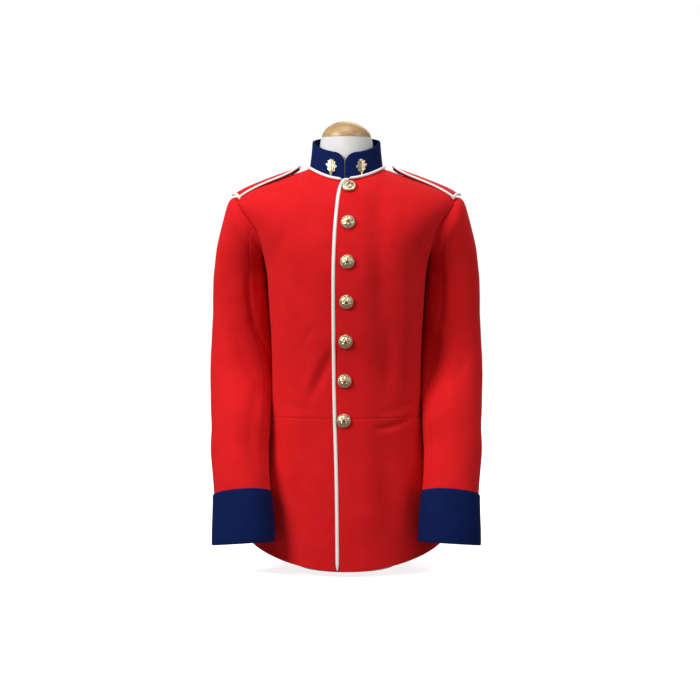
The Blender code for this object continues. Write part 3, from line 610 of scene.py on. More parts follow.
def sleeve_surface(level, angle):
    """The outside of the wearer's left sleeve: 0 on its outer side, 90 degrees in front."""
    level, angle = np.broadcast_arrays(np.asarray(level, float), angle)
    row = columns_at(SLEEVE, SLEEVE_COLUMNS, np.clip(level, 0, WRIST_LEVEL))
    lean = np.radians(row["lean_degrees"])
    across = np.cos(angle)
    forward = np.sin(angle) * row["half_depth"]
    x = (row["outer_x"] + row["inner_x"]) / 2 + (row["outer_x"] - row["inner_x"]) / 2 * across
    y = row["centre_y"] + row["inner_back"] * (1 - across) / 2 - forward * np.cos(lean)
    z = (row["outer_z"] + row["inner_z"]) / 2 + (row["outer_z"] - row["inner_z"]) / 2 * across
    z = z + forward * np.sin(lean)
    ring = np.stack(np.broadcast_arrays(x, y, z), axis=-1)
    share = np.clip(row["armhole_share"], 0, 1)[..., None]
    return share * armhole(angle, np.float64(CLOTH)) + (1 - share) * ring


def sleeve_point(level, angle, out, lines=()):
    """A point of the left sleeve moved out along its normal, out counted from its outside."""
    level, angle = np.broadcast_arrays(np.asarray(level, float), angle)
    inside = np.clip(level, NORMAL_MARGIN, WRIST_LEVEL - NORMAL_MARGIN)
    normal = normals_of(sleeve_surface, inside, angle)
    point = sleeve_surface(level, angle)
    sunk = 0.0
    if lines:
        held = ease(level / SLEEVE_HELD_LEVELS)
        sunk = (crease_depth(point, lines) + unevenness(point)) * held
    return point + normal * (out - sunk)[..., None]


def mirrored(points, side):
    return points * np.array([side, 1.0, 1.0])


def edge_distances(points):
    """The distance of each place of a grid from its low, high, start and end edges."""
    across = np.linalg.norm(np.diff(points, axis=1), axis=-1)
    along = np.linalg.norm(np.diff(points, axis=0), axis=-1)
    start = np.concatenate([np.zeros((len(points), 1)), np.cumsum(across, axis=1)], axis=1)
    low = np.concatenate([np.zeros((1, points.shape[1])), np.cumsum(along, axis=0)], axis=0)
    return {"low": low, "high": low[-1:] - low, "start": start, "end": start[:, -1:] - start}


def seam_roll(points, edges):
    """How far a cloth turns in at the edges that are sewn."""
    away = edge_distances(points)
    nearest = np.min([away[edge] for edge in edges], axis=0)
    return -SEAM_ROLL * (1 - ease(nearest / SEAM_ROLL_WIDTH)) ** 1.5


def edge_drop(distance, depth, width):
    """How far a cloth's face sinks towards an edge of that depth and width."""
    return depth * (1 - ease(distance / width))


def grid_normals(points, wraps):
    if wraps:
        across = np.roll(points, -1, axis=1) - np.roll(points, 1, axis=1)
    else:
        across = np.gradient(points, axis=1)
    return unit(np.cross(across, np.gradient(points, axis=0)))


def make_object(name, points, faces, material):
    """A mesh object of this name, its faces outwards and smooth, riding on the body."""
    data = bpy.data.meshes.new(name + "_mesh")
    data.from_pydata((np.asarray(points) * MM).tolist(), [], faces)
    mesh = bmesh.new()
    mesh.from_mesh(data)
    bmesh.ops.recalc_face_normals(mesh, faces=mesh.faces)
    mesh.to_mesh(data)
    mesh.free()
    data.shade_smooth()
    data.set_sharp_from_angle(angle=math.radians(SHARP_DEGREES))
    made = bpy.data.objects.new(name, data)
    made.data.materials.append(material)
    bpy.context.scene.collection.objects.link(made)
    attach(made, "root")
    return made


def faces_of_rings(count, sides, loop=False):
    """Faces between rings of points and, unless they go round, over the first and the last."""
    faces = []
    for r in range(count if loop else count - 1):
        q = (r + 1) % count
        for c in range(sides):
            n = (c + 1) % sides
            faces.append((r * sides + c, r * sides + n, q * sides + n, q * sides + c))
    if not loop:
        faces.append(tuple(range(sides))[::-1])
        faces.append(tuple((count - 1) * sides + c for c in range(sides)))
    return faces


def lofted(name, rings, material, loop=False):
    """A closed object whose skin runs over rings of points."""
    faces = faces_of_rings(*rings.shape[:2], loop)
    return make_object(name, rings.reshape(-1, 3), faces, material)


def cloth_object(
    name, outer, material, thickness=CLOTH, free=(), wraps=False, side=1, under=None
):
    """A closed cloth from a grid of points of its outer face, with rounded free edges.

    Its inner face lies that thickness behind, or where a second grid says.
    """
    rows, columns = outer.shape[:2]
    inner = outer - grid_normals(outer, wraps) * thickness if under is None else under
    middle = (outer + inner) / 2
    points = [outer.reshape(-1, 3), inner.reshape(-1, 3)]
    size = rows * columns
    last = columns if wraps else columns - 1
    faces = []
    for r in range(rows - 1):
        for c in range(last):
            n = (c + 1) % columns
            above = columns * (r + 1)
            face = (r * columns + c, r * columns + n, above + n, above + c)
            faces.append(face)
            faces.append(tuple(size + corner for corner in reversed(face)))
    # Each rim: its edge, its cells and the way from it into the cloth
    rims = [
        ("low", [(0, c) for c in range(columns)], (1, 0)),
        ("high", [(rows - 1, c) for c in range(columns)], (-1, 0)),
    ]
    if not wraps:
        rims.append(("start", [(r, 0) for r in range(rows)], (0, 1)))
        rims.append(("end", [(r, columns - 1) for r in range(rows)], (0, -1)))
    total = 2 * size
    rim_point = {}
    for edge, cells, (down, right) in rims:
        bulge = EDGE_BULGE if edge in free else 0.0
        for r, c in cells:
            if (r, c) not in rim_point:
                outwards = middle[r, c] - middle[r + down, c + right]
                points.append((middle[r, c] + unit(outwards) * bulge)[None, :])
                rim_point[r, c] = total
                total += 1
        following = cells[1:] + cells[:1] if wraps else cells[1:]
        for here, there in zip(cells, following):
            a, b = (r * columns + c for r, c in (here, there))
            faces.append((a, b, rim_point[there], rim_point[here]))
            faces.append((rim_point[here], rim_point[there], b + size, a + size))
    return make_object(name, mirrored(np.concatenate(points), side), faces, material)


def tube_object(name, path, sideways, upwards, half_width, half_height, material, loop=False):
    """A cord of oval section along a path, its ends rounded."""
    turn = all_round(TUBE_SIDES)
    shape = np.stack([np.cos(turn) * half_width, np.sin(turn) * half_height], axis=1)
    scale = np.ones(len(path))
    if not loop:
        scale[:3], scale[-3:] = TUBE_TIP, TUBE_TIP[::-1]
    rings = [
        p + (s * shape[:, :1] + u * shape[:, 1:]) * k
        for p, s, u, k in zip(path, sideways, upwards, scale)
    ]
    return lofted(name, np.array(rings), material, loop)


def new_material(
    name, roughness, metallic=0.0, sheen=0.0, sheen_roughness=0.4, tint=(1, 1, 1), coat=0.0,
    specular=0.5,
):
    material = bpy.data.materials.new(name)
    material.use_nodes = True
    shader = material.node_tree.nodes["Principled BSDF"]
    shader.inputs["Roughness"].default_value = roughness
    shader.inputs["Metallic"].default_value = metallic
    shader.inputs["Sheen Weight"].default_value = sheen
    shader.inputs["Sheen Roughness"].default_value = sheen_roughness
    shader.inputs["Sheen Tint"].default_value = (*tint, 1)
    shader.inputs["Coat Weight"].default_value = coat
    shader.inputs["Specular IOR Level"].default_value = specular
    return material, material.node_tree, shader


def node(tree, kind, **settings):
    """A node of that kind, with its inputs and properties set."""
    made = tree.nodes.new("ShaderNode" + kind)
    for key, value in settings.items():
        name = key.replace("_", " ")
        if name in made.inputs:
            made.inputs[name].default_value = value
        else:
            setattr(made, key, value)
    return made


def object_place(tree, scale=(1, 1, 1)):
    """The place on the object, stretched by that scale."""
    place = node(tree, "TexCoord")
    mapping = node(tree, "Mapping")
    mapping.inputs["Scale"].default_value = scale
    tree.links.new(place.outputs["Object"], mapping.inputs["Vector"])
    return mapping.outputs["Vector"]


def texture(tree, place, kind, **settings):
    """A texture of that kind, read at that place."""
    made = node(tree, "Tex" + kind, **settings)
    tree.links.new(place, made.inputs["Vector"])
    return made


def mixed_colour(tree, factor, dark, light, low=0.3, high=0.7):
    ramp = node(tree, "ValToRGB")
    ramp.color_ramp.elements[0].position = low
    ramp.color_ramp.elements[1].position = high
    ramp.color_ramp.elements[0].color = (*dark, 1)
    ramp.color_ramp.elements[1].color = (*light, 1)
    tree.links.new(factor, ramp.inputs["Fac"])
    return ramp.outputs["Color"]


def add_bump(tree, shader, heights):
    """Bumps laid one over another: each is a height output, a strength and a distance in metres."""
    below = None
    for height, strength, distance in heights:
        bump = node(tree, "Bump", Strength=strength, Distance=distance)
        tree.links.new(height, bump.inputs["Height"])
        if below:
            tree.links.new(below, bump.inputs["Normal"])
        below = bump.outputs["Normal"]
    tree.links.new(below, shader.inputs["Normal"])


def roughness_from(tree, shader, factor, low, high):
    spread_node = node(tree, "MapRange")
    spread_node.inputs["To Min"].default_value = low
    spread_node.inputs["To Max"].default_value = high
    tree.links.new(factor, spread_node.inputs["Value"])
    tree.links.new(spread_node.outputs["Result"], shader.inputs["Roughness"])


def wool(name, dark, light, tint, sheen):
    """Milled wool: cloudy colour, short nap, and the faint slant of its twill."""
    material, tree, shader = new_material(
        name, 0.8, sheen=sheen, sheen_roughness=0.55, tint=tint, specular=0.10
    )
    place = object_place(tree)
    cloud = texture(tree, place, "Noise", Scale=26.0, Detail=4.0, Roughness=0.6)
    speck = texture(tree, place, "Noise", Scale=2400.0, Detail=2.0, Roughness=0.7)
    nap = texture(tree, place, "Noise", Scale=900.0, Detail=3.0, Roughness=0.65)
    twill = texture(
        tree, place, "Wave", Scale=520.0, Distortion=2.2, Detail=2.0, bands_direction="DIAGONAL"
    )
    blend = node(tree, "Mix", data_type="FLOAT")
    blend.inputs["Factor"].default_value = 0.55
    tree.links.new(cloud.outputs["Fac"], blend.inputs["A"])
    tree.links.new(speck.outputs["Fac"], blend.inputs["B"])
    colour = mixed_colour(tree, blend.outputs["Result"], dark, light)
    tree.links.new(colour, shader.inputs["Base Color"])
    roughness_from(tree, shader, nap.outputs["Fac"], 0.74, 0.94)
    add_bump(tree, shader, (
        (twill.outputs["Fac"], 0.16, 0.00012),
        (nap.outputs["Fac"], 0.30, 0.00025),
        (speck.outputs["Fac"], 0.25, 0.00010),
    ))
    return material


def clouded(finish, textures, colours, roughness, bumps):
    """A material whose cloud sets its colour and roughness, with bumps from its textures.

    finish is what new_material made, textures are kinds and settings by name, and a bump is a
    texture's name, a strength and a distance in metres.
    """
    material, tree, shader = finish
    place = object_place(tree)
    made = {key: texture(tree, place, kind, **held) for key, (kind, held) in textures.items()}
    cloud = made["cloud"].outputs["Fac"]
    tree.links.new(mixed_colour(tree, cloud, *colours), shader.inputs["Base Color"])
    roughness_from(tree, shader, cloud, *roughness)
    add_bump(tree, shader, [(made[key].outputs["Fac"], *held) for key, *held in bumps])
    return material


def cord_cloth():
    """White cloth over a cord, with fine slanting threads."""
    thread = dict(Scale=900.0, Distortion=1.2, Detail=1.0, bands_direction="DIAGONAL")
    return clouded(
        new_material("white_cord_cloth", 0.7, sheen=0.15, sheen_roughness=0.5),
        textures={
            "thread": ("Wave", thread),
            "cloud": ("Noise", dict(Scale=90.0, Detail=3.0, Roughness=0.6)),
        },
        colours=(WHITE_DARK, WHITE_LIGHT),
        roughness=(0.62, 0.8),
        bumps=(("thread", 0.35, 0.00012), ("cloud", 0.2, 0.0004)),
    )


def gilt_metal():
    """Pale gilt: satin, a little darker and rougher in its hollows."""
    return clouded(
        new_material("pale_gilt", 0.32, metallic=1.0),
        textures={
            "cloud": ("Noise", dict(Scale=420.0, Detail=4.0, Roughness=0.65)),
            "scratch": ("Noise", dict(Scale=1800.0, Detail=2.0, Roughness=0.5)),
        },
        colours=(GILT_DARK, GILT_LIGHT),
        roughness=(0.24, 0.46),
        bumps=(("cloud", 0.35, 0.0004), ("scratch", 0.2, 0.00006)),
    )


def jersey():
    """White knitted cotton drawn tight, its stitches in fine upright ribs."""
    rib = dict(Scale=330.0, Distortion=0.6, Detail=1.0, bands_direction="X")
    course = dict(Scale=420.0, Distortion=0.8, Detail=1.0, bands_direction="Z")
    return clouded(
        new_material("white_jersey", 0.8, sheen=0.2, sheen_roughness=0.5),
        textures={
            "rib": ("Wave", rib),
            "course": ("Wave", course),
            "cloud": ("Noise", dict(Scale=45.0, Detail=3.0, Roughness=0.5)),
        },
        colours=(JERSEY_DARK, JERSEY_LIGHT),
        roughness=(0.72, 0.86),
        bumps=(("rib", 0.25, 0.00012), ("course", 0.25, 0.0001)),
    )


def varnished_wood():
    """Light wood under satin varnish, with long grain and short dark flecks."""
    material, tree, shader = new_material("varnished_beech", 0.4, coat=0.25)
    shader.inputs["Coat Roughness"].default_value = 0.25
    long_place = object_place(tree, WOOD_GRAIN_STRETCH)
    fleck_place = object_place(tree, WOOD_FLECK_STRETCH)
    grain = texture(
        tree, long_place, "Noise", Scale=26.0, Detail=6.0, Roughness=0.6, Distortion=0.4
    )
    fleck = texture(tree, fleck_place, "Voronoi", Scale=520.0)
    wood = mixed_colour(tree, grain.outputs["Fac"], WOOD_DARK, WOOD_LIGHT, 0.35, 0.65)
    spots = mixed_colour(tree, fleck.outputs["Distance"], (1, 1, 1), (0, 0, 0), 0.10, 0.22)
    mix = node(tree, "Mix", data_type="RGBA")
    tree.links.new(spots, mix.inputs["Factor"])
    tree.links.new(wood, mix.inputs[MIX_FIRST_COLOUR])
    mix.inputs[MIX_SECOND_COLOUR].default_value = (*WOOD_FLECK, 1)
    tree.links.new(mix.outputs[MIX_COLOUR_OUT], shader.inputs["Base Color"])
    roughness_from(tree, shader, grain.outputs["Fac"], 0.34, 0.5)
    add_bump(tree, shader, (
        (grain.outputs["Fac"], 0.15, 0.0003),
        (fleck.outputs["Distance"], 0.1, 0.0001),
    ))
    return material


def powder_coat():
    """White powder coat, finely pebbled."""
    return clouded(
        new_material("white_powder_coat", 0.42),
        textures={
            "pebble": ("Noise", dict(Scale=700.0, Detail=2.0, Roughness=0.5)),
            "cloud": ("Noise", dict(Scale=22.0, Detail=3.0, Roughness=0.5)),
        },
        colours=(COAT_DARK, COAT_LIGHT),
        roughness=(0.36, 0.5),
        bumps=(("pebble", 0.3, 0.0002),),
    )


def panel_rows():
    """The levels of the bodice's rows, closer together round the armhole's ends and the seams."""
    turn = np.linspace(0, math.pi, ARMHOLE_ROWS)
    armhole_rows = ARMPIT_LEVEL + ARMHOLE_HALF * (1 - np.cos(turn))
    low = WAIST_LEVEL + SEAM / 2 / MM_PER_LEVEL + WAIST_NEAR
    lower = np.linspace(low[-1], ARMPIT_LEVEL, BODICE_ROWS)[1:-1]
    upper = np.linspace(TIP_LEVEL, NECK_LEVEL, SHOULDER_ROWS)[1:]
    return np.concatenate([low, lower, armhole_rows, upper])


def skirt_rows():
    high = WAIST_LEVEL - SEAM / 2 / MM_PER_LEVEL - WAIST_NEAR[::-1]
    low = HEM_LEVEL + HEM_NEAR
    middle = np.linspace(low[-1], high[0], SKIRT_ROWS)[1:-1]
    return np.concatenate([low, middle, high])


def side_reach(levels):
    """How far the armhole cuts into a panel, as an angle from the side."""
    inside = np.clip(1 - ((levels - ARMHOLE_MIDDLE) / ARMHOLE_HALF) ** 2, 0, 1)
    return ARMHOLE_REACH * np.sqrt(inside)


def panel_angles(levels, where):
    """The angles of a panel's columns, from its lower to its higher, one row for each level."""
    shares = spread(PANEL_COLUMNS)[None, :]
    side = (QUARTER - side_reach(levels) - seam_angle(torso_surface, levels, QUARTER))[:, None]
    if where.startswith("back"):
        gap = seam_angle(torso_surface, levels, math.pi)[:, None]
        near, far = math.pi - side, math.pi - gap
        angles = near + (far - near) * shares
        return angles if where == "back_left" else -angles[:, ::-1]
    if where == "front_left":
        edge = angle_for_x(levels, piping_x(levels) + PIPING_HALF_WIDTH * PIPING_COVERS)[:, None]
        return edge + (side - edge) * shares
    under_x = np.minimum(piping_x(levels) + UNDERLAP_REACH, UNDERLAP_X)
    under = angle_for_x(levels, under_x)[:, None]
    return -side + (under + side) * shares


def build_panels(materials):
    lines = body_crease_lines()
    parts = (("", panel_rows()), ("skirt_", skirt_rows()))
    sewn = {
        "front_left": {"end"}, "front_right": {"start"},
        "back_left": {"start", "end"}, "back_right": {"start", "end"},
    }
    made = {}
    for prefix, levels in parts:
        for where, edges in sewn.items():
            rows = levels[:, None]
            angles = panel_angles(levels, where)
            flat = torso_surface(rows, angles)
            edges = edges | ({"high"} if prefix else {"low"})
            out = CLOTH + seam_roll(flat, edges)
            if where == "front_left":
                out = out + lap_raise(flat[..., 0])
            outer = torso_point(rows, angles, out, lines)
            free = {"low"} if prefix else {"high"}
            free |= {"start"} if where == "front_left" else set()
            name = prefix + where
            made[name] = cloth_object(name, outer, materials["red"], free=free)
    return made


def sleeve_rows():
    near = np.array([0.0, 0.03, 0.08, 0.15])
    head = np.linspace(near[-1], SLEEVE_HEAD_LEVEL, SLEEVE_HEAD_ROWS)[1:]
    arm = np.linspace(SLEEVE_HEAD_LEVEL, WRIST_LEVEL - 0.05, SLEEVE_ARM_ROWS)[1:]
    return np.concatenate([near, head, arm])


def build_sleeves(materials):
    made = {}
    levels = sleeve_rows()
    seam = np.radians(columns_at(SLEEVE, SLEEVE_COLUMNS, levels)["seam_degrees"])
    gap = seam_angle(sleeve_surface, levels, seam)
    front = (seam - gap)[:, None]
    under_start = (seam + gap)[:, None]
    under_reach = 2 * math.pi - 2 * under_start
    pieces = (
        ("top_sleeve", -front + 2 * front * spread(TOP_SLEEVE_COLUMNS)[None, :]),
        ("under_sleeve", under_start + under_reach * spread(UNDER_SLEEVE_COLUMNS)[None, :]),
    )
    for side, word in ((1, "left"), (-1, "right")):
        lines = sleeve_crease_lines(side)
        for name, angles in pieces:
            rows = levels[:, None]
            flat = sleeve_surface(rows, angles)
            out = seam_roll(flat, {"low", "start", "end"})
            outer = sleeve_point(rows, angles, out, lines)
            full = f"{name}_{word}"
            made[full] = cloth_object(full, outer, materials["red"], free={"high"}, side=side)
        made[f"cuff_{word}"] = build_cuff(side, word, lines, materials)
    return made


def build_cuff(side, word, lines, materials):
    """The deep cuff turned up over the sleeve's end, its upper edge folded in."""
    shares = spread(CUFF_ROWS, (0.0, 0.006, 0.015, 0.03))
    levels = CUFF_TOP_LEVEL + (WRIST_LEVEL - CUFF_TOP_LEVEL) * shares
    around = all_round(ROUND_PLACES)
    rows = levels[:, None]
    flat = sleeve_surface(rows, around[None, :])
    away = edge_distances(flat)
    top = edge_drop(away["low"], CUFF_FOLD, CUFF_FOLD_WIDTH)
    bottom = edge_drop(away["high"], CUFF_FOLD, CUFF_FOLD_WIDTH)
    out = CUFF_CLEAR + CLOTH - top - bottom
    outer = sleeve_point(rows, around[None, :], out, lines)
    return cloth_object(
        f"cuff_{word}", outer, materials["navy"], free={"low", "high"}, wraps=True, side=side
    )


def collar_surface(level, angle):
    return ring_point(columns_at(COLLAR, RING_COLUMNS, level), angle)


def collar_point(level, angle, out):
    level, angle = np.broadcast_arrays(np.asarray(level, float), angle)
    inside = np.clip(level, NORMAL_MARGIN, 1 - NORMAL_MARGIN)
    normal = normals_of(collar_surface, inside, angle)
    return collar_surface(level, angle) + normal * np.broadcast_to(out, level.shape)[..., None]


def collar_ends():
    start = math.asin(COLLAR_CENTRE_X / COLLAR_RADIUS)
    half = COLLAR_SLIT / 2 / COLLAR_RADIUS
    return start + half, start + 2 * math.pi - half


def build_collar(materials):
    start, end = collar_ends()
    near = np.array(COLLAR_NEAR) / COLLAR_RADIUS
    middle = np.linspace(start + near[-1], end - near[-1], COLLAR_COLUMNS)[1:-1]
    angles = np.concatenate([start + near, middle, end - near[::-1]])
    from_end = np.minimum(angles - start, end - angles) * COLLAR_RADIUS
    inset = np.clip(COLLAR_CORNER - from_end, 0, COLLAR_CORNER)
    drop = COLLAR_CORNER - np.sqrt(COLLAR_CORNER**2 - inset**2)
    top = 1 - drop / COLLAR_HEIGHT
    levels = spread(COLLAR_ROWS)[:, None] * top[None, :]
    flat = collar_surface(levels, angles[None, :])
    away = edge_distances(flat)
    nearest = np.minimum(away["high"], np.minimum(away["start"], away["end"]))
    fold = edge_drop(nearest, COLLAR_FOLD, COLLAR_FOLD_WIDTH)
    out = COLLAR_CLOTH - fold - 0.5 * unevenness(flat)
    outer = collar_point(levels, angles[None, :], out)
    made = cloth_object(
        "collar", outer, materials["navy"], thickness=COLLAR_CLOTH, free={"high", "start", "end"}
    )
    return {"collar": made}


def piping_place(level, angle, height):
    """A point of the piping's line and the cloth's normal under it."""
    point = torso_point(level, angle, height)
    return point, unit(torso_point(level, angle, height + 1.0) - point)


def piping(name, levels, angles, height, half_width, half_height, material):
    path, normal = piping_place(levels, angles, height)
    across = unit(np.cross(unit(np.gradient(path, axis=0)), normal))
    return tube_object(name, path, across, normal, half_width, half_height, material)


def build_piping(materials):
    """The front piping turns its corner at the neck and runs on under the collar."""
    start, end = collar_ends()
    first, rest = np.linspace(HEM_LEVEL + 0.01, 10.0, 240), np.linspace(10.0, 10.87, 30)[1:]
    rise_levels = np.concatenate([first, rest])
    rise_angles = angle_for_x(rise_levels, piping_x(rise_levels))
    turn = np.linspace(0, QUARTER, 10)[1:]
    corner_levels = rise_levels[-1] + (NECK_PIPING_LEVEL - rise_levels[-1]) * np.sin(turn)
    neck_first = start + NECK_PIPING_START / COLLAR_RADIUS
    corner_angles = rise_angles[-1] + (neck_first - rise_angles[-1]) * (1 - np.cos(turn))
    front_levels = np.concatenate([rise_levels, corner_levels])
    front_height = np.full_like(front_levels, CLOTH + SEAM + PIPING_HALF_HEIGHT)
    neck_angles = np.linspace(neck_first, end - NECK_PIPING_END / COLLAR_RADIUS, 220)
    neck_levels = np.full_like(neck_angles, NECK_PIPING_LEVEL)
    lap = (CLOTH + SEAM) * (1 - ease((neck_angles - NECK_LAP_FROM) / NECK_LAP_OVER))
    return {
        "front_piping": piping(
            "front_piping", front_levels, np.concatenate([rise_angles, corner_angles]),
            front_height, PIPING_HALF_WIDTH, PIPING_HALF_HEIGHT, materials["cord"],
        ),
        "neck_piping": piping(
            "neck_piping", neck_levels, neck_angles,
            CLOTH + NECK_PIPING_CLEAR + NECK_PIPING_RADIUS + lap,
            NECK_PIPING_RADIUS, NECK_PIPING_RADIUS, materials["cord"],
        ),
    }


def strap_point(share, across, up=0.0):
    """A point of the left strap's underside, or that far up through its thickness.

    share runs from the sleeve seam inwards, across from -1 in front, and up to 1 at its top.
    """
    row = columns_at(STRAP, STRAP_COLUMNS, share)
    x = row["x"] + row["skew"] * across
    y = across * row["half_width"]
    tilt = np.radians(row["tilt_degrees"])
    z = spline(*zip(*STRAP_RIDGE), x) + y * np.tan(tilt) - STRAP_DROOP * y * y
    return np.stack(np.broadcast_arrays(x, row["y"] + y, z + up * row["thick"]), axis=-1)


def strap_rim():
    """The line of a strap's piping on its top, just inside its edge and round at its corners."""
    inset_share = STRAP_PIPING_INSET / (STRAP[0][1] - STRAP[-1][1])
    shares = np.linspace(inset_share, 1 - inset_share, 60)
    reach = 1 - STRAP_PIPING_INSET / columns_at(STRAP, STRAP_COLUMNS, shares)["half_width"]
    across = np.linspace(-1, 1, 16)[1:-1]
    front = list(zip(shares, -reach))
    inner_end = [(shares[-1], a * reach[-1]) for a in across]
    back = list(zip(shares[::-1], reach[::-1]))
    outer_end = [(shares[0], a * reach[0]) for a in across[::-1]]
    rim = np.array(front + inner_end + back + outer_end)
    top = strap_point(rim[:, 0], rim[:, 1], 1.0)
    up = normals_of(lambda a, b: strap_point(a, b, 1.0), rim[:, 0], rim[:, 1])
    up = up * np.sign(up[:, 2:])
    path = top - up * STRAP_PIPING_SUNK
    closed = np.concatenate([path, up], axis=1)
    closed = np.concatenate([closed, closed[:1]])
    walked = walked_along(closed[:, :3])
    at = np.linspace(0, walked[-1], STRAP_PIPING_PLACES)[:-1]
    even = np.stack([np.interp(at, walked, closed[:, i]) for i in range(6)], axis=1)
    for _ in range(2):
        even = (np.roll(even, 1, axis=0) + 2 * even + np.roll(even, -1, axis=0)) / 4
    path, up = even[:, :3], unit(even[:, 3:])
    along = np.roll(path, -1, axis=0) - np.roll(path, 1, axis=0)
    return path, unit(np.cross(along, up)), up


def build_straps(materials):
    """The straps and their piping.

    A strap's edge and underside are painted a darker red as painted shade, and its outer end is
    bound in white.
    """
    made = {}
    shares = spread(STRAP_ROWS)
    across = -1 + 2 * spread(STRAP_COLUMN_COUNT)
    grid_share, grid_across = np.meshgrid(shares, across, indexing="ij")
    top = strap_point(grid_share, grid_across, 1.0)
    under = strap_point(grid_share, grid_across)
    nearest = np.min(list(edge_distances(top).values()), axis=0)
    top[..., 2] -= edge_drop(nearest, STRAP_FOLD, STRAP_FOLD_WIDTH) + 0.3 * unevenness(top)
    path, outwards, up = strap_rim()
    outer_end = dict(zip(STRAP_COLUMNS, STRAP[0]))
    end_x = outer_end["x"] - outer_end["skew"] - STRAP_END_REACH
    for side, word in ((1, "left"), (-1, "right")):
        name = f"shoulder_strap_{word}"
        strap = cloth_object(name, top, materials["red"], under=under, side=side)
        for material in ("backing", "cord"):
            strap.data.materials.append(materials[material])
        # Edge and underside faces get the painted shade, except at the outer end, which gets the
        # white cord cloth
        for polygon in strap.data.polygons:
            if polygon.normal.z < STRAP_PAINTED_SHADE_SLOPE:
                at_end = abs(polygon.center.x) / MM > end_x
                polygon.material_index = STRAP_END_SLOT if at_end else STRAP_PAINTED_SHADE_SLOT
        made[name] = strap
        name = f"strap_piping_{word}"
        made[name] = tube_object(
            name, mirrored(path, side), mirrored(outwards, side), mirrored(up, side),
            STRAP_PIPING_HALF_WIDTH, STRAP_PIPING_HALF_HEIGHT, materials["cord"], loop=True,
        )
    return made


def button_levels():
    """The level of each button, from the lowest up, a pitch apart along the front."""
    levels = np.linspace(BUTTON_FIRST_LEVEL, NECK_LEVEL - 0.05, 800)
    line = torso_point(levels, np.zeros_like(levels), np.float64(CLOTH))
    walked = walked_along(line)
    return np.interp(BUTTON_PITCH * np.arange(BUTTON_COUNT), walked, levels)


def button_points():
    """A domed button: a roped rim, a sunk ring and an eight-petalled rosette on a plain boss."""
    turn = all_round(BUTTON_SIDES)
    face, rim = np.linspace(0.5, 10.4, 26), np.linspace(10.7, BUTTON_RADIUS, 10)
    radii = np.concatenate([[0.05], face, rim])
    rings = []
    for radius in radii:
        share = radius / BUTTON_RADIUS
        dome = BUTTON_EDGE + BUTTON_DOME * (1 - share**2.6)
        petal = 0.5 + 0.5 * np.cos(PETALS * turn)
        reach = PETAL_FOOT + (PETAL_TIP - PETAL_FOOT) * petal**0.8
        grooves = 0.55 + 0.45 * np.cos(2 * PETALS * turn)
        relief = PETAL_HIGH * ease((reach - radius) / 0.9 + 0.5) * grooves
        boss = edge_drop(radius - BOSS_RADIUS, 0.7, 0.8)
        ring = -0.5 * math.exp(-(((radius - RING_RADIUS) / 0.6) ** 2))
        strands = 0.55 + 0.30 * np.cos(ROPE_STRANDS * turn)
        rope = math.exp(-(((radius - ROPE_RADIUS) / 0.8) ** 2)) * strands
        height = dome + relief + boss + ring + rope
        rings.append(np.stack([radius * np.cos(turn), radius * np.sin(turn), height], axis=1))
    for radius, height in BUTTON_BACK:
        level = np.full_like(turn, height)
        rings.append(np.stack([radius * np.cos(turn), radius * np.sin(turn), level], axis=1))
    return np.array(rings)


def build_buttons(materials):
    made = {}
    rings = button_points()
    faces = faces_of_rings(*rings.shape[:2])
    height = CLOTH * 2 + SEAM * 2
    for i, level in enumerate(button_levels()):
        level = np.array([level])
        x = BUTTON_LOW_X + (BUTTON_HIGH_X - BUTTON_LOW_X) * i / (BUTTON_COUNT - 1)
        angle = angle_for_x(level, np.array([x]))
        foot = torso_point(level, angle, np.float64(height))[0]
        up = unit(torso_point(level, angle, np.float64(height + 1))[0] - foot)
        turn = np.array(Vector(up).to_track_quat("Z", "Y").to_matrix())
        # Each is sewn on at its own slight turn.
        spin = np.array(Matrix.Rotation(BUTTON_SPIN * i, 3, "Z"))
        points = rings.reshape(-1, 3) @ spin.T @ turn.T + foot
        name = f"button_{i + 1}"
        made[name] = make_object(name, points, faces, materials["gilt"])
    return made


def leaf_half_width(share):
    """Half the width of an upright lobed leaf, from its stem at 0 to its tip at 1."""
    blade = (share - LEAF_STEM_SHARE) / (1 - LEAF_STEM_SHARE)
    body = np.sin(np.pi * np.clip(blade, 0, 1)) ** 0.8
    lobes = 0.80 + 0.20 * np.cos(2 * LEAF_LOBES * np.pi * blade + np.pi)
    return LEAF_STEM + (BADGE_WIDTH / 2 - LEAF_STEM) * body * lobes


def build_badges(materials):
    made = {}
    shares = np.linspace(0, 1, 90)[:, None]
    across = np.linspace(-1, 1, 37)[None, :]
    half = leaf_half_width(shares)
    levels = BADGE_FOOT + BADGE_HEIGHT / COLLAR_HEIGHT * shares + 0 * across
    crown = 0.9 * (1 - across**2)
    rib = 0.55 * np.exp(-((half * across / 0.9) ** 2))
    from_vein = np.mod(shares * 9.0 - np.abs(across) * 1.6, 1.0) - 0.5
    vein = -0.35 * np.exp(-((from_vein / 0.16) ** 2)) * np.abs(across) ** 0.4
    rim = 0.30 * ease((np.abs(across) - 0.86) / 0.10)
    out = COLLAR_CLOTH + SEAM + BADGE_THICK + crown + rib + vein + rim
    for side, word in ((1, "left"), (-1, "right")):
        angles = math.asin(side * BADGE_X / COLLAR_RADIUS) + half * across / COLLAR_RADIUS
        outer = collar_point(levels, angles, out)
        name = f"collar_badge_{word}"
        made[name] = cloth_object(name, outer, materials["gilt"], thickness=BADGE_SHELL)
    return made


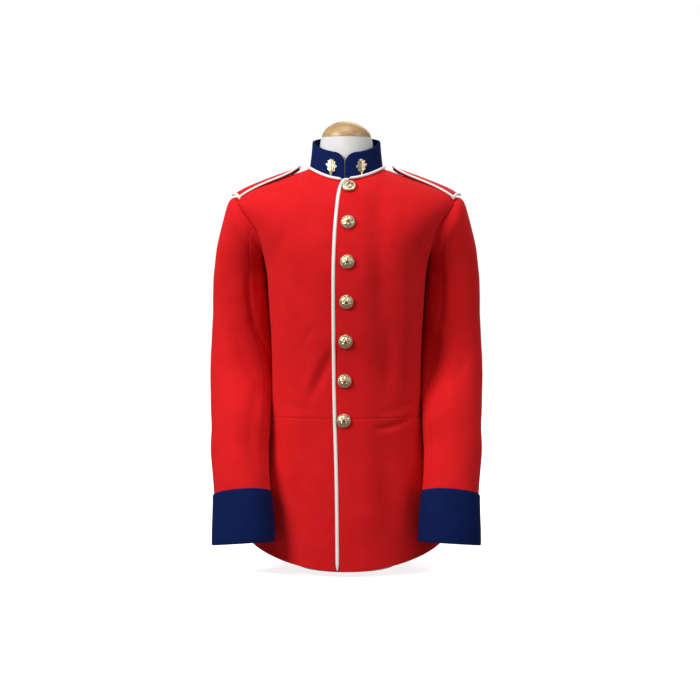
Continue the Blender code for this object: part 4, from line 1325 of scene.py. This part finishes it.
def form_rings():
    """The rings of the dress form from its flat underside to the top of its neck."""
    around = all_round(ROUND_PLACES)
    hip = np.asarray(FORM_HIP, float)
    heights = np.linspace(0, 1, FORM_HIP_RINGS)
    steps = np.linspace(0, 1, len(hip))
    rings = []
    for share in heights:
        row = {name: spline(steps, hip[:, i], share) for i, name in enumerate(FORM_COLUMNS)}
        row["z_front"] = row["z_side"] = row["z_back"] = row["z"]
        row["dip"] = 2.0
        rings.append(ring_point(row, around))
    insets = np.asarray(FORM_INSET)
    for level in np.linspace(FORM_INSET[0][0] + 0.02, NECK_LEVEL - 0.02, FORM_WAIST_RINGS):
        inset = float(np.interp(level, insets[:, 0], insets[:, 1]))
        rings.append(torso_point(np.full_like(around, level), around, np.float64(-inset)))
    neck = np.asarray(FORM_NECK, float)
    steps = np.linspace(0, 1, len(neck))
    for share in np.linspace(0, 1, FORM_NECK_RINGS):
        row = {name: spline(steps, neck[:, i], share) for i, name in enumerate(FORM_NECK_COLUMNS)}
        row["power"], row["dip"] = 2.0, 2.0
        rings.append(ring_point(row, around))
    return np.array(rings)


def build_form(materials):
    return lofted("jersey_form", form_rings(), materials["jersey"])


def build_cap(materials):
    around = all_round(CAP_SIDES)
    rises = np.linspace(0, QUARTER, CAP_RINGS + 1)[:-1, None]
    radius = CAP_RADIUS * np.cos(rises) ** CAP_POINTED
    height = CAP_FOOT + (CAP_TOP - CAP_FOOT) * np.sin(rises)
    places = (radius * np.cos(around), radius * np.sin(around), height)
    rings = np.stack(np.broadcast_arrays(*places), axis=-1)
    return lofted("wooden_cap", rings, materials["wood"])


def dress_node(frame, name, material):
    """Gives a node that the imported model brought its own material."""
    shown = frame["nodes"][name]
    for held in shown.material_slots:
        held.material = material


def build_stage():
    """A wide pale floor and a pale surround that only the camera sees."""
    floor_mesh = bmesh.new()
    bmesh.ops.create_circle(floor_mesh, cap_ends=True, segments=96, radius=STAGE_RADIUS)
    surround_mesh = bmesh.new()
    bmesh.ops.create_uvsphere(surround_mesh, u_segments=64, v_segments=32, radius=STAGE_RADIUS)
    for name, mesh, colour, glow in (
        ("floor", floor_mesh, (0.9, 0.9, 0.9), FLOOR_GLOW),
        ("surround", surround_mesh, (0.0, 0.0, 0.0), BACKGROUND_GLOW),
    ):
        data = bpy.data.meshes.new(name + "_mesh")
        mesh.to_mesh(data)
        mesh.free()
        made = bpy.data.objects.new(name, data)
        material, _, shader = new_material(name + "_white", 0.9)
        shader.inputs["Base Color"].default_value = (*colour, 1)
        shader.inputs["Specular IOR Level"].default_value = 0.0
        shader.inputs["Emission Color"].default_value = (1.0, 1.0, 1.0, 1)
        shader.inputs["Emission Strength"].default_value = glow
        data.materials.append(material)
        made.visible_diffuse = made.visible_glossy = False
        made.visible_transmission = made.visible_volume_scatter = False
        made.visible_shadow = False
        bpy.context.scene.collection.objects.link(made)


def aimed(place, aim):
    return (Vector(aim) - Vector(place)).to_track_quat("-Z", "Y").to_euler()


def build_lights():
    for values in LIGHTS:
        row = dict(zip(LIGHT_COLUMNS, values))
        data = bpy.data.lights.new(row["name"], "AREA")
        data.shape = "SQUARE"
        data.size = row["size"]
        data.energy = row["watts"]
        made = bpy.data.objects.new(row["name"], data)
        made.location = row["place"]
        made.rotation_euler = aimed(row["place"], row["aim"])
        bpy.context.scene.collection.objects.link(made)
    world = bpy.data.worlds.new("studio")
    bpy.context.scene.world = world
    world.use_nodes = True
    background = world.node_tree.nodes["Background"]
    background.inputs["Color"].default_value = (1.0, 1.0, 1.0, 1)
    background.inputs["Strength"].default_value = AMBIENT
    bpy.context.scene.view_settings.view_transform = "Standard"


def build_camera():
    data = bpy.data.cameras.new("camera")
    data.lens = CAMERA_LENS
    data.sensor_width = 36.0
    data.clip_end = 200.0
    made = bpy.data.objects.new("camera", data)
    made.location = CAMERA_PLACE
    made.rotation_euler = aimed(CAMERA_PLACE, CAMERA_AIM)
    bpy.context.scene.collection.objects.link(made)
    bpy.context.scene.camera = made


def main():
    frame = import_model()
    materials = {
        "red": wool("red_wool_cloth", RED_DARK, RED_LIGHT, RED_TINT, 0.10),
        "navy": wool("navy_wool_cloth", NAVY_DARK, NAVY_LIGHT, NAVY_TINT, 0.01),
        # The darker red of painted shade, for a strap's edge and underside
        "backing": wool("dark_backing_cloth", PAINTED_SHADE_DARK, PAINTED_SHADE_LIGHT, RED_TINT, 0.0),
        "cord": cord_cloth(),
        "gilt": gilt_metal(),
        "jersey": jersey(),
        "wood": varnished_wood(),
        "coat": powder_coat(),
    }
    pieces = {}
    for build in (
        build_panels, build_sleeves, build_collar, build_straps, build_piping, build_buttons,
        build_badges,
    ):
        pieces.update(build(materials))
    for name, piece in pieces.items():
        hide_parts(name)
    for piece, name, slot in (
        (build_form(materials), "form_torso", "form_jersey"),
        (build_cap(materials), "form_cap", "cap_wood"),
    ):
        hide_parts(name)
    for name in ("form_post", "form_base"):
        dress_node(frame, name, materials["coat"])
    build_stage()
    build_lights()
    build_camera()


main()
